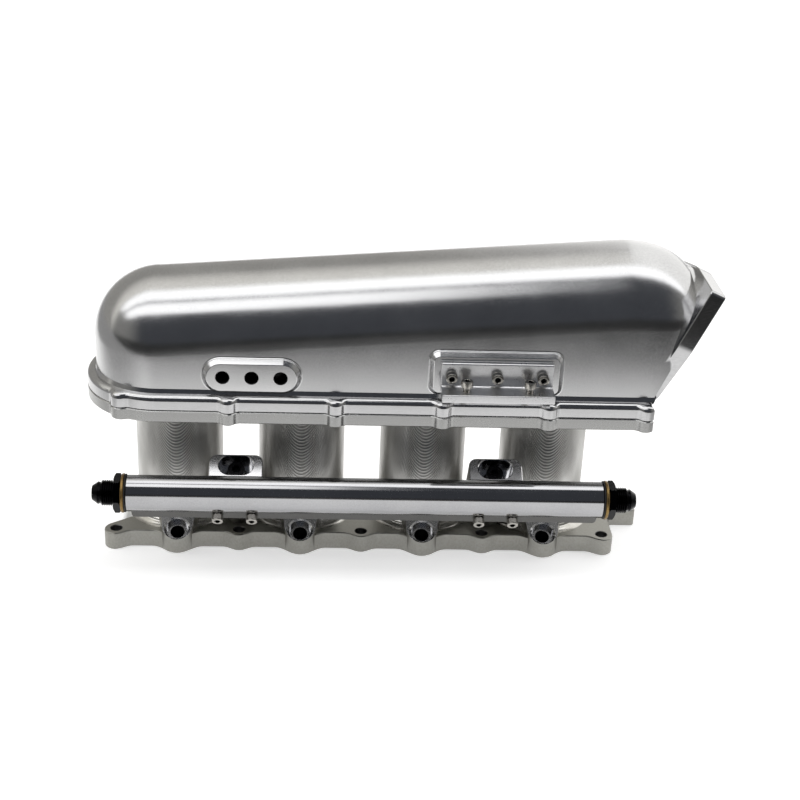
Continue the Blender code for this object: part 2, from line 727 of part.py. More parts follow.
def build_fittings():
    """Flared hose adapters screwed into the rail's ends, each on a washer and a ring seal."""
    for side, end, turn in (("left", RAIL_X[0], math.pi), ("right", RAIL_X[1], 0)):
        frame = INJECTOR @ Matrix.Translation((end, 0, 0)) @ Matrix.Rotation(turn, 4, "Z")
        frame = frame @ columns((0, 1, 0), (0, 0, 1), (1, 0, 0), (0, 0, 0))
        seal = cylinder("ring", 0.0142, GAP, 0.0012, frame, 24)
        cut = [cylinder("ring_hole", 0.0100, -0.01, 0.01, frame, 20)]
        node(f"fitting_seal_{side}", seal, "rubber", (), cut)
        washer = cylinder("washer", 0.0145, 0.0012 + GAP, 0.0036, frame, 24)
        cut = [cylinder("washer_hole", 0.0100, -0.01, 0.01, frame, 20)]
        node(f"fitting_washer_{side}", washer, "gold_washer", (), cut)
        face = 0.0036 + GAP
        hexagon = cylinder("hexagon", 0.0254 / math.sqrt(3), face, face + 0.0065, frame, 6)
        profile = [(-0.010, 0.0093), (face + 0.002, 0.0093), (face + 0.004, 0.0082)]
        profile += [(face + 0.0078, 0.0082), (face + 0.0082, 0.0095), (face + 0.0160, 0.0095)]
        profile += [(face + 0.0165, 0.0080), (face + 0.0177, 0.0080), (face + 0.0180, 0.0083)]
        profile += [(face + 0.0225, 0.0053)]
        add = [turned("adapter", profile, frame, 20)]
        cut = [cylinder("flow_bore", 0.0045, -0.02, 0.05, frame, 16)]
        node(f"hose_fitting_{side}", hexagon, "black_anodised", add, cut)


def build_rail_mounts():
    back = RAIL_FOOT_HALF + GAP
    half, far = MOUNT_HALF, back + MOUNT_DEPTH
    corners = [(-half, back), (half, back), (half, far), (-half, far)]
    outline = rounded(corners, [0.001, 0.001, 0.0065, 0.0065], 3)
    for side, x in zip(("left", "right"), MOUNT_X):
        block = prism("mount", outline, RAIL_FOOT_LOW, MOUNT_TOP, at(x, 0, 0))
        pocket_floor = MOUNT_TOP - MOUNT_POCKET_DEPTH
        hole = at(x, MOUNT_BOLT_BACK, 0)
        cut = [
            prism("pocket", rectangle(0.013, 0.00835, 0.0083, 8), pocket_floor, 0.02, hole),
            prism("slot", rectangle(0.0080, 0.0045, 0.0044, 6), -0.03, pocket_floor + 0.001, hole),
        ]
        cut.append(cylinder("rail_space", RAIL_RADIUS + GAP, x - 0.03, x + 0.03, rail_turn(), 32))
        for frame in rail_screw_frames(0):
            if abs(frame.translation.x - x) < 2 * MOUNT_SCREW_OFFSET:
                cut.append(cylinder("screw_thread", 0.0028, -0.031, 0.0, frame, 10))
        node(f"rail_mount_{side}", block, "polished_aluminium", (), cut)

    mesh = cap_screw_mesh(M8, 0.026, "rail_bolt")
    head_floor = MOUNT_TOP - MOUNT_POCKET_DEPTH + GAP
    places = [at(x, MOUNT_BOLT_BACK, head_floor) for x in MOUNT_X]
    screws(["rail_bolt_left", "rail_bolt_right"], mesh, "black_steel", places)
    mesh = cap_screw_mesh(M5, 0.030, "rail_screw")
    names = [f"rail_screw_{i + 1}" for i in range(4)]
    screws(names, mesh, "steel", rail_screw_frames(GAP))


def smooth_round_faces():
    """Smooth shading with the corners kept sharp, on every part."""
    for obj in parts.objects:
        obj.data.shade_smooth()
        obj.data.set_sharp_from_angle(angle=math.radians(35))


build_runner_block()
build_plenum()
build_seal()
build_rim_bolts()
build_bracket()
build_rail()
build_fittings()
build_rail_mounts()
smooth_round_faces()
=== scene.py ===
"""Looks of the billet intake manifold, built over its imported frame.

Each visible piece is modelled again, finer than its CAD node and in the same place, and then takes its
material. Lengths are in metres. +X runs along the engine, -Y faces the camera, +Z goes up to the plenum.
"""

import math

import bmesh
import bpy
from mathutils import Matrix, Vector
from mathutils.kdtree import KDTree


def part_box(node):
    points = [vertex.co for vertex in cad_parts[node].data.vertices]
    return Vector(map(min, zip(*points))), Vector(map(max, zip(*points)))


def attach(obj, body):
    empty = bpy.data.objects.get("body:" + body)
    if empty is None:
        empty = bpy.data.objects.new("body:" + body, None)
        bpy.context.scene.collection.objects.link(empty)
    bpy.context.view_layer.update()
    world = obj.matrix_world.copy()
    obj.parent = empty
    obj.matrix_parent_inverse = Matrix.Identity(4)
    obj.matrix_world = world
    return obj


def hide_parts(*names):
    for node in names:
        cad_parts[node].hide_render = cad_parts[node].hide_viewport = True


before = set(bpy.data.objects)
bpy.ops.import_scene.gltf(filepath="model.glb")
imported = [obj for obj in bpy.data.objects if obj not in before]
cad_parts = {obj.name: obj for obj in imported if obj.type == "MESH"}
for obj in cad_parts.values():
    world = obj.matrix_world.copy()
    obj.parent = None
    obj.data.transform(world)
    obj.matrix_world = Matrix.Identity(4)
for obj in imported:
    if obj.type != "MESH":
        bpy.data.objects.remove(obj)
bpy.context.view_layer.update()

# Cylinder-head flange and runners
PORT_PITCH = 0.094
PORT_X = [(i - 1.5) * PORT_PITCH for i in range(4)]
BETWEEN_PORTS_X = [(i - 2) * PORT_PITCH for i in range(5)]
HEAD_THICKNESS = 0.014
HEAD_EDGE_Y = 0.039
HEAD_BOLT_Y = 0.036
HEAD_BOLT_RADIUS = 0.0045
HEAD_LOBE = 0.0055
INJECTOR_LOBE = 0.0105
EAR_RADIUS = 0.009
REAR_EAR = (-0.176, 0.028)
COOLANT_EAR = (0.211, 0.014)
RUNNER_RADIUS = 0.033
RUNNER_FOOT_DEPTH = 0.029
RUNNER_FILLET = 0.008
PORT_HALF = (0.029, 0.0195)
BORE_RADIUS = 0.0275
BELLMOUTH = 0.007

# Bolted rim
BASE_LOW = 0.1155
SEAM = 0.125
RIM_HIGH = 0.1365
RIM_ROUND = 0.0042
RIM_HALF = 0.057
RIM_RIGHT = 0.211
BOSS_HALF = 0.0545
BOSS_RADIUS = 0.0067
BOSS_ARC = 0.0050
BOSS_REACH = 0.0088
RIM_HOLE = 0.0033
RIM_COUNTERBORE = (0.0054, 0.0063)
BOSS_X = [-0.1005, -0.022, 0.0565, 0.135, 0.2077]
LEFT_CENTRE = -0.152
LEFT_BOSS_ANGLE = math.radians(120)

# Plenum and its throttle flange
PLENUM_RADIUS = 0.050
PLENUM_WALL = 0.0055
AXIS_HEIGHT = 0.1765
AXIS_SLOPE = 0.0816
RIGHT_START = 0.190
RIGHT_END = 0.250
THROTTLE_TILT = math.radians(24.4)
THROTTLE_CENTRE = Vector((0.2358, 0, 0.1741))
THROTTLE_BORE = 0.037
THROTTLE_THICKNESS = 0.012
THROTTLE_BOLT = 0.034
THROTTLE_HOLE = 0.0034
NECK_RADIUS = 0.0475
SKIRT_STEP = 0.0014
THROTTLE_OUTLINE = [
    (-0.050, 0.0505),
    (0.000, 0.0505),
    (0.050, 0.038),
    (0.050, 0.000),
    (0.043, -0.047),
    (-0.041, -0.047),
    (-0.050, 0.001),
]
THROTTLE_CORNERS = [0.003, 0.05, 0.008, 0.05, 0.008, 0.008, 0.05]

# Pads and the accessory bracket
PAD_PROUD = 0.0045
VACUUM_PAD = (-0.0833, 0.1514)
VACUUM_PITCH = 0.021
VACUUM_RADIUS = 0.0046
VACUUM_HALF = (0.0325, 0.0103)
BRACKET_PAD = (0.0945, 0.157)
BRACKET_PAD_HALF = (0.0455, 0.0140)
BRACKET_X = (0.054, 0.1355)
BRACKET_Z = (0.144, 0.168)
BRACKET_PLATE = 0.0037
BRACKET_LEDGE = 0.016
LEDGE_THICKNESS = 0.006
BRACKET_SCREW_X = [0.0612, 0.0945, 0.1278]
BRACKET_SCREW_Z = 0.1575
LEDGE_SCREW_X = [0.072, 0.118]
LEDGE_SCREW_PROUD = 0.0034
GAP = 0.0003

# Fuel rail, in the injector frame: x along the rail, y back, z up along the injectors
INJECTOR_TILT = math.radians(31)
RAIL_CENTRE = Vector((0, -0.070, 0.0637))
RAIL_X = (-0.174, 0.178)
RAIL_RADIUS = 0.0135
RAIL_BORE = 0.0082
RAIL_FOOT_HALF = 0.011
RAIL_FOOT_LOW = -0.0165
RAIL_FOOT_INSET = 0.003
FITTING_BORE = 0.0097
FITTING_DEPTH = 0.012
CUP_RADIUS = 0.007
CUP_TOP = -0.0085
RAIL_SCREW_LOW = -0.0122
FUEL_WAY = 0.004
INJECTOR_FACE = -0.053
SEAT_RADIUS = 0.0087
SEAT_DEPTH = 0.006
SPRAY_RADIUS = 0.0055
MOUNT_X = [-0.095, 0.099]
MOUNT_SCREW_OFFSET = 0.0126
MOUNT_HALF = 0.020
MOUNT_TOP = 0.0057
MOUNT_DEPTH = 0.020
MOUNT_BOLT_BACK = 0.022
MOUNT_POCKET_DEPTH = 0.014
MOUNT_POCKET_HALF = (0.0135, 0.00885)
MOUNT_SLOT_HALF = (0.0080, 0.0045)
POST_RADIUS = 0.010
POST_LENGTH = 0.050
POST_HOLE = 0.0043

# Hose fittings, along the rail from its end: the seal, the washer, then the hexagon
RING_BORE = 0.0100
SEAL_HIGH = 0.0012
SEAL_RADIUS = 0.0142
WASHER_HIGH = 0.0036
WASHER_RADIUS = 0.0145
HEXAGON_CORNER = 0.0254 / math.sqrt(3)
HEXAGON_THICKNESS = 0.0052
HEXAGON_BEVEL = 0.0128
THREAD_PITCH = 0.0016
THREAD_SETBACK = 0.0013
HOSE_WAY = 0.0045

# Screws: (shank radius, head radius, head height, hexagon across its flats, thread pitch)
M5 = (0.0025, 0.00425, 0.005, 0.004, 0.0008)
M6 = (0.0030, 0.0050, 0.006, 0.005, 0.0010)
M8 = (0.0040, 0.0065, 0.008, 0.006, 0.00125)
M5_TAPPED = 0.0028
M5_CLEARANCE = 0.0029

# Light
LAMP = 2.15
LAMP_LEAN = 10
FLOOR_TONE = 0.72
FLOOR_GLOW = 0.58

# Camera
CAMERA_PLACE = Vector((-0.0345, -1.0510, 0.6143))
CAMERA_DOWN = math.radians(25.595)
CAMERA_YAW = math.radians(3.408)
CAMERA_ROLL = math.radians(2.522)
CAMERA_LENS = 68.15


# ---------------------------------------------------------------- frames

def columns(x, y, z, origin):
    """A frame from its three axes and its origin."""
    return Matrix.Translation(origin) @ Matrix((x, y, z)).transposed().to_4x4()


INJECTOR = Matrix.Translation(RAIL_CENTRE) @ Matrix.Rotation(INJECTOR_TILT, 4, "X")
THROTTLE = columns(
    (0, 1, 0),
    (math.sin(THROTTLE_TILT), 0, math.cos(THROTTLE_TILT)),
    (math.cos(THROTTLE_TILT), 0, -math.sin(THROTTLE_TILT)),
    THROTTLE_CENTRE,
)
FRONT = columns((1, 0, 0), (0, 0, 1), (0, -1, 0), (0, 0, 0))
ALONG = columns((0, 1, 0), (0, 0, 1), (1, 0, 0), (0, 0, 0))


def at(x, y, z):
    """The injector frame, moved to a point given in it."""
    return INJECTOR @ Matrix.Translation((x, y, z))


# ---------------------------------------------------------------- materials

class Nodes:
    """Small helper to wire the nodes of one material."""

    def __init__(self, name):
        self.material = bpy.data.materials.new(name)
        self.material.use_nodes = True
        self.tree = self.material.node_tree
        self.shader = self.tree.nodes["Principled BSDF"]
        self.place = self.add("ShaderNodeTexCoord").outputs["Object"]

    def add(self, kind, **settings):
        made = self.tree.nodes.new(kind)
        for key, value in settings.items():
            setattr(made, key, value)
        return made

    def join(self, source, target):
        self.tree.links.new(source, target)

    def put(self, value, socket):
        """A number on the socket, or a link into it."""
        if isinstance(value, bpy.types.NodeSocket):
            self.join(value, socket)
        else:
            socket.default_value = value

    def maths(self, operation, first, second=0.0, clamp=False):
        made = self.add("ShaderNodeMath", operation=operation, use_clamp=clamp)
        self.put(first, made.inputs[0])
        self.put(second, made.inputs[1])
        return made.outputs[0]

    def noise(self, scale, stretch=(1, 1, 1), detail=4.0):
        mapping = self.add("ShaderNodeMapping")
        mapping.inputs["Scale"].default_value = stretch
        self.join(self.place, mapping.inputs["Vector"])
        made = self.add("ShaderNodeTexNoise")
        made.inputs["Scale"].default_value = scale
        made.inputs["Detail"].default_value = detail
        self.join(mapping.outputs["Vector"], made.inputs["Vector"])
        return made.outputs["Fac"]

    def between(self, factor, low, high, start=0.3, end=0.7):
        made = self.add("ShaderNodeMapRange")
        self.join(factor, made.inputs["Value"])
        for key, value in (("From Min", start), ("From Max", end), ("To Min", low), ("To Max", high)):
            made.inputs[key].default_value = value
        return made.outputs["Result"]

    def blend(self, factor, first, second):
        made = self.add("ShaderNodeMix", data_type="RGBA")
        self.put(factor, made.inputs[0])
        for value, socket in ((first, made.inputs[6]), (second, made.inputs[7])):
            self.put(value if isinstance(value, bpy.types.NodeSocket) else (*value, 1), socket)
        return made.outputs[2]

    def bump(self, height, distance, strength=1.0, under=None):
        made = self.add("ShaderNodeBump")
        made.inputs["Strength"].default_value = strength
        made.inputs["Distance"].default_value = distance
        self.join(height, made.inputs["Height"])
        if under is not None:
            self.join(under, made.inputs["Normal"])
        return made.outputs["Normal"]

    def axes(self):
        made = self.add("ShaderNodeSeparateXYZ")
        self.join(self.place, made.inputs[0])
        return made.outputs


def metal(name, dark, light, smooth, rough, grain=900, stretch=(1, 1, 1), depth=0.00001, metallic=1.0):
    """A metal whose colour and gloss vary with a grain, which also stands up a little."""
    m = Nodes(name)
    cloud = m.noise(28, detail=3)
    fine = m.noise(grain, stretch, 5)
    both = m.maths("ADD", m.maths("MULTIPLY", cloud, 0.45), m.maths("MULTIPLY", fine, 0.55))
    m.join(m.blend(m.between(both, 0, 1, 0.35, 0.65), dark, light), m.shader.inputs["Base Color"])
    m.join(m.between(both, smooth, rough, 0.35, 0.65), m.shader.inputs["Roughness"])
    m.shader.inputs["Metallic"].default_value = metallic
    m.join(m.bump(fine, depth, 0.6), m.shader.inputs["Normal"])
    return m


def scalloped(name):
    """Milled aluminium with the nested arcs that a ball cutter leaves down the runners."""
    m = Nodes(name)
    x, _, z = m.axes()
    across = m.maths("FLOORED_MODULO", m.maths("ADD", x, 2 * PORT_PITCH), PORT_PITCH)
    across = m.maths("ABSOLUTE", m.maths("SUBTRACT", across, PORT_PITCH / 2))
    squared = m.maths("MULTIPLY", across, across)
    wobble = m.maths("MULTIPLY", m.noise(45, detail=2), 0.0016)
    height = m.maths("ADD", m.maths("SUBTRACT", z, m.maths("MULTIPLY", squared, 80.0)), wobble)
    wave = m.maths("SINE", m.maths("MULTIPLY", height, 2 * math.pi / 0.0027))
    rise = m.between(z, 0, 1, 0.048, 0.070)
    arcs = m.maths("MULTIPLY", m.between(across, 1, 0, 0.010, 0.019), rise)
    feather = m.maths("SUBTRACT", z, m.maths("MULTIPLY", across, 2.6))
    feather = m.maths("SINE", m.maths("MULTIPLY", feather, 2 * math.pi / 0.0019))
    flank = m.maths("MULTIPLY", m.between(across, 0.0, 0.42, 0.008, 0.017), rise)
    flank = m.maths("MULTIPLY", flank, m.between(across, 1, 0, 0.019, 0.029))
    pattern = m.maths("ADD", m.maths("MULTIPLY", wave, arcs), m.maths("MULTIPLY", feather, flank))
    tone = m.maths("ADD", m.maths("MULTIPLY", pattern, 0.33), m.noise(60, (1, 1, 0.35), 4))
    shade = m.blend(m.between(tone, 0, 1, 0.2, 0.8), (0.29, 0.285, 0.27), (0.59, 0.585, 0.57))
    m.join(shade, m.shader.inputs["Base Color"])
    m.join(m.between(tone, 0.46, 0.32, 0.2, 0.8), m.shader.inputs["Roughness"])
    m.shader.inputs["Metallic"].default_value = 1.0
    fine = m.bump(m.noise(1500, detail=3), 0.00001, 0.5)
    m.join(m.bump(pattern, 0.00026, 1.0, fine), m.shader.inputs["Normal"])
    return m


def rippled(name):
    """Bright fillets at the feet of the runners, with the ridges of a ball cutter going round them."""
    m = Nodes(name)
    _, _, z = m.axes()
    ridges = m.maths("SINE", m.maths("MULTIPLY", z, 2 * math.pi / 0.0021))
    patchy = m.noise(90, detail=3)
    shade = m.blend(m.between(patchy, 0, 1, 0.3, 0.7), (0.42, 0.41, 0.38), (0.60, 0.59, 0.56))
    m.join(shade, m.shader.inputs["Base Color"])
    m.join(m.between(patchy, 0.13, 0.24, 0.3, 0.7), m.shader.inputs["Roughness"])
    m.shader.inputs["Metallic"].default_value = 1.0
    m.join(m.bump(m.maths("ADD", ridges, patchy), 0.00012, 0.8), m.shader.inputs["Normal"])
    return m


def leaned(finish, degrees):
    """Turns what a finish mirrors about x, as lamps standing close to a low piece do."""
    turn = finish.add("ShaderNodeVectorRotate", rotation_type="X_AXIS")
    turn.inputs["Angle"].default_value = math.radians(degrees)
    finish.join(finish.shader.inputs["Normal"].links[0].from_socket, turn.inputs["Vector"])
    finish.join(turn.outputs["Vector"], finish.shader.inputs["Normal"])
    return finish


SATIN = metal(
    "satin_aluminium", (0.48, 0.48, 0.485), (0.56, 0.56, 0.565),
    0.17, 0.23, 800, depth=0.000002,
)
RIM = metal(
    "bright_aluminium", (0.43, 0.43, 0.435), (0.51, 0.51, 0.515),
    0.12, 0.18, 900, (0.3, 1, 1), 0.000002,
)
FLANGE = metal(
    "matt_aluminium", (0.31, 0.31, 0.305), (0.37, 0.37, 0.365),
    0.22, 0.29, 1000, depth=0.000002,
)
# Painted shade: the rail's foot is the rail's own aluminium, made this dark to stand for the shade that
# falls on its faces.
SHADED_FOOT = metal(
    "brushed_foot_painted_shade", (0.085, 0.084, 0.08), (0.125, 0.124, 0.12),
    0.26, 0.36, 900, (0.3, 1, 1), 0.000004,
)
ANGLE = metal(
    "brushed_angle", (0.76, 0.76, 0.77), (0.86, 0.86, 0.87),
    0.27, 0.34, 900, (0.1, 1, 1), 0.000002,
)
POLISHED = metal(
    "polished_aluminium", (0.37, 0.37, 0.38), (0.43, 0.43, 0.44),
    0.07, 0.13, 900, depth=0.000002,
)
leaned(POLISHED, LAMP_LEAN)
MIRROR = metal(
    "mirror_aluminium", (0.56, 0.56, 0.57), (0.66, 0.66, 0.67),
    0.10, 0.17, 700, depth=0.000002,
)
BLOCK = metal("polished_block", (0.57, 0.57, 0.58), (0.66, 0.66, 0.67), 0.20, 0.28, 700, depth=0.000002)
MILLED = metal(
    "milled_aluminium", (0.28, 0.275, 0.25), (0.36, 0.355, 0.33),
    0.34, 0.46, 700, (1, 1, 0.8), 0.000004,
)
PAD = metal("bright_pad", (0.58, 0.58, 0.585), (0.66, 0.66, 0.665), 0.14, 0.20, 900, depth=0.000002)
# Painted shade: near-black metal for the deep spray and vacuum bores, standing for the shade inside them.
SHADOWED_DEEP_BORE = metal("deep_bore_painted_shadow", (0.008, 0.008, 0.008), (0.03, 0.03, 0.03), 0.40, 0.60, 600)
# Painted shade: aluminium darkened for the walls of bores, holes and the plenum's chamber, standing for
# the shade inside them.
SHADED_INSIDE = metal("bored_aluminium_painted_shade", (0.10, 0.10, 0.10), (0.20, 0.20, 0.20), 0.35, 0.50, 600, (1, 1, 0.1))
SCALLOPED = scalloped("scalloped_aluminium")
FILLET = rippled("rippled_aluminium")
STEEL = metal(
    "stainless_steel", (0.34, 0.325, 0.30), (0.52, 0.505, 0.47),
    0.10, 0.20, 1200, depth=0.000004,
)
BLACK_STEEL = metal("black_oxide", (0.006, 0.006, 0.007), (0.020, 0.020, 0.022), 0.28, 0.45, 900)
ANODISED = metal("black_anodised", (0.003, 0.003, 0.0035), (0.008, 0.008, 0.009), 0.16, 0.28, 900)
WASHER = metal("gold_washer", (0.16, 0.10, 0.04), (0.34, 0.23, 0.09), 0.30, 0.48, 1400)
RUBBER = metal(
    "black_rubber", (0.006, 0.006, 0.006), (0.016, 0.016, 0.016),
    0.45, 0.70, 1600, metallic=0.0,
)


# ---------------------------------------------------------------- meshes

def made(name, bm, finish, place=None):
    """Closes a bmesh into a named piece with one finish."""
    bmesh.ops.connect_verts_nonplanar(bm, angle_limit=math.radians(0.01), faces=bm.faces[:])
    bmesh.ops.recalc_face_normals(bm, faces=bm.faces)
    mesh = bpy.data.meshes.new(name)
    bm.to_mesh(mesh)
    bm.free()
    mesh.materials.append(finish.material)
    obj = bpy.data.objects.new(name, mesh)
    bpy.context.scene.collection.objects.link(obj)
    if place is not None:
        obj.matrix_world = place
    return obj


def trim(bm, point, normal):
    """Cuts away what lies beyond a plane and closes the cut."""
    everything = bm.verts[:] + bm.edges[:] + bm.faces[:]
    cut = bmesh.ops.bisect_plane(
        bm, geom=everything, plane_co=point, plane_no=normal, clear_outer=True
    )["geom_cut"]
    edges = [e for e in cut if isinstance(e, bmesh.types.BMEdge)]
    bmesh.ops.contextual_create(bm, geom=edges)


def loft(rings):
    """Rings of points joined one to the next, with the first and the last closed."""
    bm = bmesh.new()
    loops = [[bm.verts.new(p) for p in ring] for ring in rings]
    for low, high in zip(loops, loops[1:]):
        for i, corner in enumerate(low):
            bm.faces.new((low[i - 1], corner, high[i], high[i - 1]))
    bm.faces.new(loops[0])
    bm.faces.new(loops[-1])
    return bm


def inset(outline, distance):
    """An outline moved inwards, each point along the middle of its two edges' normals."""
    if not distance:
        return outline
    area = sum(a[0] * b[1] - b[0] * a[1] for a, b in zip(outline, outline[1:] + outline[:1]))
    turn = 1 if area > 0 else -1
    moved = []
    for i, here in enumerate(outline):
        before = Vector(outline[i - 1])
        after = Vector(outline[(i + 1) % len(outline)])
        first = (Vector(here) - before).normalized()
        second = (after - Vector(here)).normalized()
        normal = Vector((-(first + second).y, (first + second).x)) * turn
        normal.normalize()
        lean = max(0.5, normal.dot(Vector((-first.y, first.x)) * turn))
        moved.append(tuple(Vector(here) + normal * distance / lean))
    return uncrossed(outline, moved, abs(distance))


def uncrossed(outline, moved, distance):
    """Where a moved outline has folded over itself, lays its points on a short chord instead."""
    tree = KDTree(len(outline))
    for i, (x, y) in enumerate(outline):
        tree.insert((x, y, 0), i)
    tree.balance()
    good = [tree.find((x, y, 0))[2] > distance * 0.985 for x, y in moved]
    count = len(moved)
    if all(good) or not any(good):
        return moved
    start = good.index(True)
    i = 0
    while i < count:
        here = (start + i) % count
        run = 1
        while not good[(here + run) % count]:
            run += 1
        first, last = Vector(moved[here]), Vector(moved[(here + run) % count])
        for k in range(1, run):
            moved[(here + k) % count] = tuple(first.lerp(last, k / run))
        i += run
    return moved


def block(name, outline, levels, finish, place=None):
    """An outline in a frame's x and y, drawn in by a distance at each height along its z."""
    rings = [[(x, y, z) for x, y in inset(outline, d)] for z, d in levels]
    return made(name, loft(rings), finish, place)


def chamfered(low, high, edge):
    """Levels of a block with both ends' edges broken."""
    return [(low, edge), (low + edge, 0), (high - edge, 0), (high, edge)]


def turned(name, profile, finish, place=None, sides=64):
    """A solid of revolution from (height, radius) pairs."""
    turns = [2 * math.pi * i / sides for i in range(sides)]
    rings = [[(r * math.cos(a), r * math.sin(a), z) for a in turns] for z, r in profile]
    return made(name, loft(rings), finish, place)


def drill(radius, low, high, place, finish, edge=0.0, mouth=0.0, sides=40):
    """A cutter for a round hole, with a chamfer of its rim where the mouth's height is given."""
    profile = [(low, radius), (high, radius)]
    if edge:
        wide = radius + 2 * edge
        profile = [(low, radius), (mouth - edge, radius), (mouth + edge, wide), (high, wide)]
    return turned("drill", profile, finish, place, sides)


def combine(target, operation, others):
    """Joins bodies to a piece, or cuts them from it, welds the slivers left over, and removes them."""
    bpy.context.view_layer.update()
    for other in others:
        modifier = target.modifiers.new(other.name, "BOOLEAN")
        modifier.operation = operation
        modifier.object = other
        modifier.material_mode = "TRANSFER"
    graph = bpy.context.evaluated_depsgraph_get()
    mesh = bpy.data.meshes.new_from_object(target.evaluated_get(graph))
    target.modifiers.clear()
    bm = bmesh.new()
    bm.from_mesh(mesh)
    bmesh.ops.remove_doubles(bm, verts=bm.verts, dist=4e-6)
    bmesh.ops.dissolve_degenerate(bm, dist=2e-6, edges=bm.edges)
    bm.to_mesh(mesh)
    bm.free()
    target.data = mesh
    for other in others:
        bpy.data.objects.remove(other)


def finish_piece(obj, slot, body, *nodes, sharp=32):
    """Smooth shading with the corners kept, then the piece's place in the frame."""
    obj.data.shade_smooth()
    obj.data.set_sharp_from_angle(angle=math.radians(sharp))
    weighted = obj.modifiers.new("weighted_normals", "WEIGHTED_NORMAL")
    weighted.keep_sharp = True
    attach(obj, body)
    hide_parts(*nodes)


# ---------------------------------------------------------------- outlines

def arc(centre, radius, start, end, steps):
    """Points on an arc, angles in degrees."""
    turns = [math.radians(start + (end - start) * i / steps) for i in range(steps + 1)]
    return [(centre[0] + radius * math.cos(a), centre[1] + radius * math.sin(a)) for a in turns]


def bump(distance, half_width):
    """A smooth hump, 1 in its middle and 0 at its ends."""
    return 0.5 + 0.5 * math.cos(math.pi * min(1, abs(distance) / half_width))


def rounded(corners, radii, steps=8):
    """A closed outline with each corner replaced by an arc."""
    points = []
    count = len(corners)
    for i, (corner, radius) in enumerate(zip(corners, radii)):
        here = Vector(corner)
        back = (Vector(corners[i - 1]) - here).normalized()
        ahead = (Vector(corners[(i + 1) % count]) - here).normalized()
        half = back.angle(ahead) / 2
        centre = here + (back + ahead).normalized() * radius / math.sin(half)
        first = here + back * radius / math.tan(half) - centre
        last = here + ahead * radius / math.tan(half) - centre
        sweep = first.angle_signed(last)
        for k in range(steps + 1):
            spun = first.copy()
            spun.rotate(Matrix.Rotation(-sweep * k / steps, 2))
            points.append(tuple(centre + spun))
    return points


def rectangle(half_x, half_y, radius, steps=8):
    corners = [(-half_x, -half_y), (half_x, -half_y), (half_x, half_y), (-half_x, half_y)]
    return rounded(corners, [radius] * 4, steps)


def shifted(outline, offset):
    return [(x + offset[0], y + offset[1]) for x, y in outline]


def head_outline():
    """The cylinder-head flange: lobes for its bolts and injectors, an ear at the throttle end."""
    left, right = BETWEEN_PORTS_X[0], BETWEEN_PORTS_X[-1]
    count = 4 * 60
    front = []
    for i in range(1, count):
        x = left + (right - left) * i / count
        bolts = max(bump(x - b, 0.0135) for b in BETWEEN_PORTS_X) * HEAD_LOBE
        injectors = max(bump(x - p, 0.0205) for p in PORT_X) * INJECTOR_LOBE
        front.append((x, -HEAD_EDGE_Y - bolts - injectors))
    steps = [0.014 * (1 - i / 8) for i in range(17)]
    rear = [
        (b + d, HEAD_EDGE_Y + HEAD_LOBE * bump(d, 0.014))
        for b in reversed(BETWEEN_PORTS_X[1:4])
        for d in steps
    ]
    coolant_x, coolant_y = COOLANT_EAR
    return (
        arc((left, -HEAD_BOLT_Y), EAR_RADIUS, 130, 270, 24)
        + front
        + arc((right, -HEAD_BOLT_Y), EAR_RADIUS, 270, 360, 16)
        + [(right + EAR_RADIUS, -0.005), (0.1985, -0.001), (0.201, 0.0015), (0.204, 0.002)]
        + arc((coolant_x + 0.008, 0.005), 0.003, 270, 360, 6)
        + arc((coolant_x, coolant_y + 0.002), 0.011, 0, 90, 12)
        + [(0.200, 0.029), (0.188, HEAD_EDGE_Y)]
        + rear
        + [(-0.130, HEAD_EDGE_Y)]
        + arc(REAR_EAR, 0.0105, 80, 190, 16)
        + arc((PORT_X[0], 0), RUNNER_RADIUS + 0.006, 165, 205, 10)
    )


def boss_profile(distance):
    """How far the rim stands proud of its straight edge, beside a boss: its arc, then a hollow blend."""
    distance = abs(distance)
    if distance >= BOSS_REACH:
        return 0.0
    offset = BOSS_HALF - RIM_HALF
    if distance <= BOSS_ARC:
        return offset + math.sqrt(BOSS_RADIUS**2 - distance**2)
    end = math.sqrt(BOSS_RADIUS**2 - BOSS_ARC**2)
    span = BOSS_REACH - BOSS_ARC
    t = (distance - BOSS_ARC) / span
    value = (offset + end) * (2 * t**3 - 3 * t**2 + 1)
    return value - (BOSS_ARC / end) * span * (t**3 - 2 * t**2 + t)


def boss_steps():
    """Places along a boss at which its outline is drawn."""
    return [BOSS_REACH * i / 12 for i in range(-12, 13)]


def rim_outline():
    """The bolted rim between the plenum and the runner block, seen from above."""
    front = [(LEFT_CENTRE, -RIM_HALF)]
    for x in BOSS_X[:-1]:
        front += [(x + d, -RIM_HALF - boss_profile(d)) for d in boss_steps()]
    corner_x = BOSS_X[-1]
    front += [(corner_x + d, -RIM_HALF - boss_profile(d)) for d in boss_steps() if d <= -BOSS_ARC]
    corner = arc((corner_x, -BOSS_HALF), BOSS_RADIUS, 228, 318, 12)
    proud = [(d, boss_profile(d)) for d in boss_steps()]
    side = [(RIM_RIGHT + p - 0.0005, -BOSS_HALF + d) for d, p in proud if d >= BOSS_ARC]
    side += [(RIM_RIGHT + p - 0.0005, d) for d, p in proud if d <= 0]
    lower = front + corner + side
    upper = [(x, -y) for x, y in reversed(lower) if y < 0]
    left = []
    count = 140
    for i in range(1, count):
        angle = math.radians(90 + 180 * i / count)
        off = min(abs(angle - LEFT_BOSS_ANGLE), abs(angle - 2 * math.pi + LEFT_BOSS_ANGLE))
        radius = RIM_HALF + boss_profile(off * BOSS_HALF)
        left.append((LEFT_CENTRE + radius * math.cos(angle), radius * math.sin(angle)))
    return lower + upper + left


